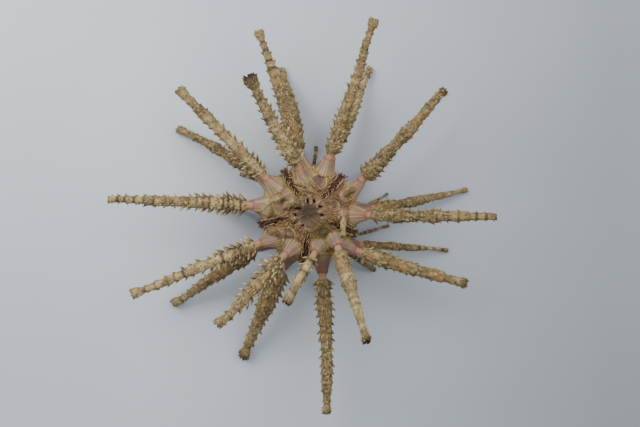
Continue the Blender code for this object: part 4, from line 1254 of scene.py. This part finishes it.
# Each slit and lobe: its azimuth and reach, how far its length turns from pointing outward,
# and half its length; a lobe also has half its width and how pale it is.
Slit = namedtuple("Slit", "azimuth reach slant half")
SLITS = [Slit(96.4, 4.5 * MM, -6.0, 0.75 * MM), Slit(66.9, 4.7 * MM, 23.0, 0.75 * MM),
         Slit(32.4, 4.5 * MM, -32.0, 0.95 * MM), Slit(-6.3, 4.6 * MM, 6.0, 0.7 * MM),
         Slit(156.4, 4.5 * MM, 24.0, 1.3 * MM), Slit(183.8, 5.2 * MM, -35.0, 0.9 * MM),
         Slit(211.8, 5.5 * MM, 25.0, 1.0 * MM), Slit(241.5, 5.3 * MM, -13.0, 1.0 * MM)]
SLIT_HALF_WIDTH = 0.42 * MM
SLIT_DEPTH = 1.2 * MM
Lobe = namedtuple("Lobe", "azimuth reach slant half wide pale")
LOBES = [Lobe(104.3, 4.6 * MM, -14.0, 0.8 * MM, 0.32 * MM, 0.9),
         Lobe(81.3, 4.3 * MM, 9.0, 1.2 * MM, 0.75 * MM, 0.5),
         Lobe(49.6, 5.2 * MM, -10.0, 0.95 * MM, 0.65 * MM, 0.95),
         Lobe(44.4, 3.8 * MM, 80.0, 0.9 * MM, 0.3 * MM, 0.7),
         Lobe(9.0, 4.2 * MM, 0.0, 0.9 * MM, 0.6 * MM, 0.6),
         Lobe(-19.5, 5.1 * MM, 20.0, 0.8 * MM, 0.6 * MM, 0.75),
         Lobe(258.0, 5.6 * MM, 5.0, 0.5 * MM, 0.4 * MM, 1.0),
         Lobe(268.0, 5.8 * MM, 40.0, 0.9 * MM, 0.3 * MM, 0.8),
         Lobe(196.8, 5.8 * MM, 0.0, 0.85 * MM, 0.65 * MM, 0.8),
         Lobe(228.2, 5.0 * MM, 0.0, 0.8 * MM, 0.8 * MM, 0.3),
         Lobe(171.0, 4.7 * MM, 0.0, 0.8 * MM, 0.7 * MM, 0.3),
         Lobe(126.0, 4.0 * MM, 10.0, 0.8 * MM, 0.6 * MM, 0.6),
         Lobe(-48.0, 5.4 * MM, 30.0, 0.7 * MM, 0.5 * MM, 0.3),
         Lobe(142.0, 5.6 * MM, 60.0, 1.0 * MM, 0.7 * MM, 0.5)]
LOBE_SINK = 0.12 * MM
LOBE_THICKNESS = 0.3 * MM
DISC_TOP = 28.3 * MM
DISC_BOTTOM = 26.6 * MM
DISC_FLAT = 6.3 * MM
DISC_EDGE = [(6.8 * MM, DISC_TOP - 0.3 * MM), (7.5 * MM, DISC_TOP - 1.1 * MM)]
AXIS_HOLE = 0.3 * MM
DISC_STEP = 0.2 * MM
DISC_SIDES = 240
DISC_SPINELETS = 70
CROWD = Sort(0.5 * MM, 0.22 * MM, 0.14 * MM, 1.0, 1.7)
CROWD_IN = 0.9 * MM
CROWD_OUT = 0.6 * MM
DISC_TUFT = math.radians(150.0)
DISC_TUFT_SPREAD = math.radians(50.0)
LOBE = [Ring(-0.2, 0.8, 0.9, 0.0), Ring(0.1, 0.9, 1.0, 0.0), Ring(0.5, 0.95, 1.0, 0.3),
        Ring(0.8, 0.9, 0.9, 0.3), Ring(0.95, 0.6, 0.6, 0.1)]


def turned_piece(name, profile, sides, upward, relief, material):
    """A closed round piece about the test's axis, from points of radius and height."""
    points = np.array([AXIS + polar(2.0 * math.pi * k / sides, radius, z)
                       for radius, z in profile for k in range(sides)])
    faces = [tuple(range(len(points) - sides, len(points)))] + tube(len(profile), sides)[0]
    faces.append(tuple(reversed(range(sides))))
    if upward:
        faces = [tuple(reversed(face)) for face in faces]
    ring = np.arange(len(points)) // sides
    angle = np.arange(len(points)) % sides * 2.0 * math.pi / sides
    spread = 0.01 + 0.48 * ring / ring.max()
    places = np.column_stack([0.5 + spread * np.cos(angle), 0.5 + spread * np.sin(angle)])
    corners = places[[vertex for face in faces for vertex in face]]
    rise, tints = relief(np.linalg.norm(points[:, :2] - np.array(AXIS.xy), axis=1), angle)
    points[:, 2] += rise * (ring < ring.max() - 1)
    return made_mesh(name, points, faces, corners, tints, material)


def disc_relief(reach, turn):
    """How far the disc's skin rises at each point, and what colours it there."""
    east, north = reach * np.cos(turn), reach * np.sin(turn)
    slit = np.zeros_like(reach)
    star = np.full_like(reach, VENT_RADIUS)
    for one in SLITS:
        azimuth, slant = math.radians(one.azimuth), math.radians(one.azimuth + one.slant)
        ahead, aside = east - one.reach * math.cos(azimuth), north - one.reach * math.sin(azimuth)
        along = ahead * math.cos(slant) + aside * math.sin(slant)
        across = aside * math.cos(slant) - ahead * math.sin(slant)
        off = (across / SLIT_HALF_WIDTH) ** 2 + (along / one.half) ** 2
        slit = np.maximum(slit, 1.0 - smooth(0.5, 1.3, off))
        turned = (turn - azimuth + math.pi) % (2.0 * math.pi) - math.pi
        star += VENT_POINT * np.exp(-((turned / VENT_POINT_SPREAD) ** 2))
    vent = 1.0 - smooth(0.5, 1.2, reach / star)
    places = np.column_stack([AXIS.x + east, AXIS.y + north, np.full_like(reach, DISC_TOP)])
    lumps = waves(places, SKIN_LUMP, 11)
    folds = np.cos(VENT_FOLDS * turn + 2.0 * np.sin(3.0 * turn)) * smooth(0.2, 0.9, reach / star)
    outer = smooth(0.88, 1.0, reach / TOP_RADIUS)
    rise = (FOLD_HEIGHT * folds + LUMP_HEIGHT * lumps) * (1.0 - outer) - VENT_DEPTH * vent
    rise -= SLIT_DEPTH * slit
    # The value kept for the folds is painted shade, strongest where the folds dip.
    return rise, {"vent": vent, "slit": slit, "fold_hollow_shade": 0.5 - 0.5 * folds,
                  "inner": 1.0 - smooth(0.62, 0.9, reach / TOP_RADIUS + 0.06 * lumps),
                  "moss": moss_at(places)}


def disc_finish():
    """Mauve brown round the olive vent, dark red in the slits as their own colour and painted shade
    in their hollows, tan further out, with painted shade in the hollows of the folds.
    """
    skin = Finish("top_disc_skin", roughness=0.55, bump_strength=0.5, bump_depth=0.1 * MM)
    cloud = skin.noise(500.0)
    base = skin.ramp(cloud, (0.3, shade(98, 76, 48)), (0.7, shade(132, 109, 74)))
    inner = skin.ramp(cloud, (0.3, shade(78, 60, 45)), (0.7, shade(108, 85, 66)))
    base = skin.mix(skin.value("inner"), base, inner)
    star = skin.ramp(skin.value("vent"), (0.2, shade(80, 60, 49)), (1.0, shade(60, 47, 30)))
    base = skin.mix(skin.value("vent"), base, star)
    # Painted shade in the hollows of the folds.
    base = skin.mix(skin.maths("MULTIPLY", skin.value("fold_hollow_shade"), 0.4), base, shade(58, 38, 28))
    base = skin.mix(skin.value("moss"), base, shade(70, 56, 20))
    # The slits' dark red is partly the skin's own colour and partly painted shade in their sunk
    # hollows.
    base = skin.mix(skin.value("slit"), base, shade(84, 26, 16))
    return skin.done(base, skin.cells(1800.0))


disc_profile = [(reach, DISC_TOP) for reach in np.arange(DISC_STEP, DISC_FLAT, DISC_STEP)]
disc_profile += [*DISC_EDGE, (TOP_RADIUS, DISC_BOTTOM), (AXIS_HOLE, DISC_BOTTOM)]
disc = turned_piece("top_disc", disc_profile, DISC_SIDES, True, disc_relief, disc_finish())

rng = random.Random(30)
up = Vector((0.0, 0.0, 1.0))
lobes, crowd = Spots(), Spots()
for lobe in LOBES:
    azimuth = math.radians(lobe.azimuth)
    way = -polar(azimuth + math.radians(lobe.slant), 1.0)
    foot = AXIS + polar(azimuth, lobe.reach, DISC_TOP - LOBE_SINK) - way * lobe.half
    lobes.add(foot, way, up, (lobe.wide, LOBE_THICKNESS, 2.0 * lobe.half), tone=lobe.pale,
              moss=moss_at([foot])[0])
for _ in range(DISC_SPINELETS):
    azimuth = rng.gauss(DISC_TUFT, DISC_TUFT_SPREAD)
    reach = rng.uniform(TOP_RADIUS - CROWD_IN, TOP_RADIUS + CROWD_OUT)
    foot = AXIS + polar(azimuth, reach, DISC_TOP - CROWD.inset)
    way = up * rng.uniform(0.3, 0.9)
    way += polar(azimuth + rng.uniform(-0.8, 0.8), rng.uniform(-1.0, 0.8))
    tall = rng.uniform(CROWD.shortest, CROWD.longest) * MM
    crowd.add(foot, way, up + polar(azimuth, 0.3), (CROWD.wide, CROWD.thick, tall),
              tone=rng.random(), moss=moss_at([foot])[0])
lobe_paint = spinelet_finish("blunt_pink_spinelets", shade(108, 84, 58), shade(126, 98, 74),
                             shade(146, 117, 92), 0.5)
disc_pieces = [
    disc,
    grown("vent_lobes", LOBE, 8, lobes, lobe_paint),
    grown("disc_spinelets", SPINELET, 6, crowd, coat_paint),
]
for piece in disc_pieces:
    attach(piece, "root")
    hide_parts("apical_disc")

# The mouth underneath: a soft skin shingled with ten rows of small scales, and the tips of
# the five ivory teeth that close in its middle.
MOUTH_FLOOR = 8.35 * MM
MOUTH_TOP = 10.0 * MM
MOUTH_BULGE = 1.0 * MM
MOUTH_LOW = 1.6 * MM
MOUTH_SLOPE = 4.2 * MM
MOUTH_EDGE = (0.2 * MM, 0.4 * MM)
MOUTH_SIDES = 96
SCALE_ROWS = 10
SCALE_RINGS = 7
SCALE_OVERLAP = 1.15
SCALE_THICKNESS = 0.16 * MM
SCALE_LENGTH = 1.25 * MM
SCALE_LIFT = 0.1 * MM
TOOTH_REACH = 1.5 * MM
TOOTH_WIDTH = 0.62 * MM
TOOTH_THICKNESS = 0.5 * MM
TOOTH_LENGTH = 3.2 * MM
TOOTH = [Ring(-0.1, 1.0, 1.0, 0.0), Ring(0.3, 1.0, 1.0, 0.1), Ring(0.65, 0.85, 0.75, 0.0),
         Ring(0.9, 0.5, 0.4, -0.35)]


def mouth_finish():
    """Damp pinkish brown skin with fine grains."""
    skin = Finish("mouth_skin", roughness=0.5, bump_strength=0.5, bump_depth=0.12 * MM)
    cloud = skin.noise(600.0)
    base = skin.ramp(cloud, (0.3, shade(104, 66, 58)), (0.7, shade(156, 116, 96)))
    return skin.done(base, skin.cells(1600.0))


def tooth_finish():
    """Ivory, whiter to the point."""
    ivory = Finish("tooth_ivory", roughness=0.3, bump_strength=0.2, bump_depth=0.05 * MM)
    base = ivory.ramp(ivory.value("rise"), (0.0, shade(196, 176, 140)), (1.0, shade(240, 232, 212)))
    return ivory.done(base, ivory.noise(900.0))


mouth_profile = [(AXIS_HOLE, MOUTH_FLOOR - 0.7 * MOUTH_BULGE),
                 (MOUTH_LOW, MOUTH_FLOOR - MOUTH_BULGE),
                 (MOUTH_SLOPE, MOUTH_FLOOR - 0.6 * MOUTH_BULGE),
                 (MOUTH_RADIUS - MOUTH_EDGE[0], MOUTH_FLOOR),
                 (MOUTH_RADIUS, MOUTH_FLOOR + MOUTH_EDGE[1]),
                 (MOUTH_RADIUS, MOUTH_TOP), (AXIS_HOLE, MOUTH_TOP)]
mouth = turned_piece("mouth_skin", mouth_profile, MOUTH_SIDES, False,
                     lambda reach, turn: (0.0 * reach, {}), mouth_finish())
rng = random.Random(40)
scales, teeth = Spots(), Spots()
for row in range(SCALE_ROWS):
    for ring in range(SCALE_RINGS):
        reach = MOUTH_RADIUS * (0.95 - 0.62 * ring / SCALE_RINGS)
        for part in (-0.25, 0.25):
            azimuth = 2.0 * math.pi * (row + 0.5 + part) / SCALE_ROWS + FIRST_ZONE
            height = MOUTH_FLOOR - 0.6 * MOUTH_BULGE * (MOUTH_RADIUS - reach) / MOUTH_RADIUS * 2.0
            wide = 2.0 * math.pi * reach / SCALE_ROWS / 4.0 * SCALE_OVERLAP
            way = polar(azimuth, -1.0, -0.4)
            scales.add(AXIS + polar(azimuth, reach, height + SCALE_LIFT), way, -up,
                       (wide, SCALE_THICKNESS, SCALE_LENGTH * rng.uniform(0.9, 1.1)),
                       tone=rng.random())
for zone in range(1, 6):
    azimuth = zone_middle(zone)
    foot = AXIS + polar(azimuth, TOOTH_REACH, MOUTH_FLOOR - 0.4 * MOUTH_BULGE)
    teeth.add(foot, polar(azimuth, -0.35, -1.0), polar(azimuth, 1.0),
              (TOOTH_WIDTH, TOOTH_THICKNESS, TOOTH_LENGTH))
scale_paint = spinelet_finish("mouth_scales", shade(112, 72, 62), shade(150, 108, 90),
                              shade(188, 156, 124), 0.5)
mouth_pieces = [
    mouth,
    grown("mouth_scales", SPINELET, 6, scales, scale_paint),
    grown("teeth", TOOTH, 8, teeth, tooth_finish()),
]
for piece in mouth_pieces:
    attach(piece, "root")
    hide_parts("peristome")

# The floor, pale and plain, the soft lights to left and right, and the camera, which looks
# straight down as in the photograph.
CAMERA_HEIGHT = 570.0 * MM
CAMERA_SHIFT = Vector((3.9 * MM, 0.0, 0.0))
FIELD_WIDTH = 230.4 * MM
FIELD_HEIGHT_Z = 20.0 * MM
SENSOR = 36.0
FLOOR_SIDE = 1.2
LAMP_SIDE = 0.6
LAMP_COLOUR = (0.99, 0.99, 0.985)
SKY_COLOUR = (0.9, 0.95, 1.0, 1.0)
SKY_STRENGTH = 0.57


def floor_piece():
    """A plain sheet, paler to the left, towards the back and round the middle: painted light as the
    lamps fall on it, with a painted glow round the middle.
    """
    paint = Finish("floor", roughness=0.55, bump_strength=0.1, bump_depth=0.2 * MM)
    cloud = paint.noise(6.0, 2.0)
    base = paint.ramp(cloud, (0.3, shade(176, 182, 190)), (0.7, shade(186, 192, 199)))
    split = paint.tree.nodes.new("ShaderNodeSeparateXYZ")
    paint.feed(split.inputs["Vector"], paint.place)
    # Painted light: the sheet darkens to the right and to the front, as the lamps fall off.
    painted_side_falloff = paint.spread(split.outputs["X"], -0.06, 0.115, to_low=1.03, to_high=0.53)
    painted_back_falloff = paint.spread(split.outputs["Y"], -0.07, 0.07, to_low=0.88, to_high=1.08)
    dim = paint.maths("MULTIPLY", painted_side_falloff, painted_back_falloff)
    away = paint.tree.nodes.new("ShaderNodeVectorMath")
    away.operation = "LENGTH"
    paint.feed(away.inputs[0], paint.place)
    # A painted glow round the middle lifts the shade round the test.
    near = paint.spread(away.outputs["Value"], 0.02, 0.1, to_low=1.15, to_high=1.0)
    dim = paint.maths("MULTIPLY", dim, near)
    base = paint.mix(1.0, base, dim, "MULTIPLY")
    half = FLOOR_SIDE / 2
    mesh = bpy.data.meshes.new("floor")
    mesh.from_pydata([(-half, -half, 0.0), (half, -half, 0.0), (half, half, 0.0),
                      (-half, half, 0.0)], [], [(0, 1, 2, 3)])
    mesh.materials.append(paint.done(base, paint.noise(90.0)))
    return linked("floor", mesh)


def soft_light(name, place, power):
    """A square soft lamp that faces the test."""
    light = bpy.data.lights.new(name, "AREA")
    light.shape = "SQUARE"
    light.size = LAMP_SIDE
    light.energy = power
    light.color = LAMP_COLOUR
    lamp = linked(name, light)
    lamp.location = place
    lamp.rotation_euler = (AXIS - Vector(place)).to_track_quat("-Z", "Y").to_euler()


floor_piece()
soft_light("left_light", place=(-0.38, 0.34, 0.5), power=6.6)
soft_light("right_light", place=(0.4, 0.22, 0.5), power=3.5)
world = bpy.data.worlds.new("studio")
world.use_nodes = True
sky = world.node_tree.nodes["Background"]
sky.inputs["Color"].default_value = SKY_COLOUR
sky.inputs["Strength"].default_value = SKY_STRENGTH
bpy.context.scene.world = world

camera_data = bpy.data.cameras.new("camera")
camera_data.sensor_width = SENSOR
camera_data.lens = SENSOR * (CAMERA_HEIGHT - FIELD_HEIGHT_Z) / FIELD_WIDTH
camera = linked("camera", camera_data)
camera.location = AXIS + CAMERA_SHIFT + Vector((0.0, 0.0, CAMERA_HEIGHT))
bpy.context.scene.camera = camera
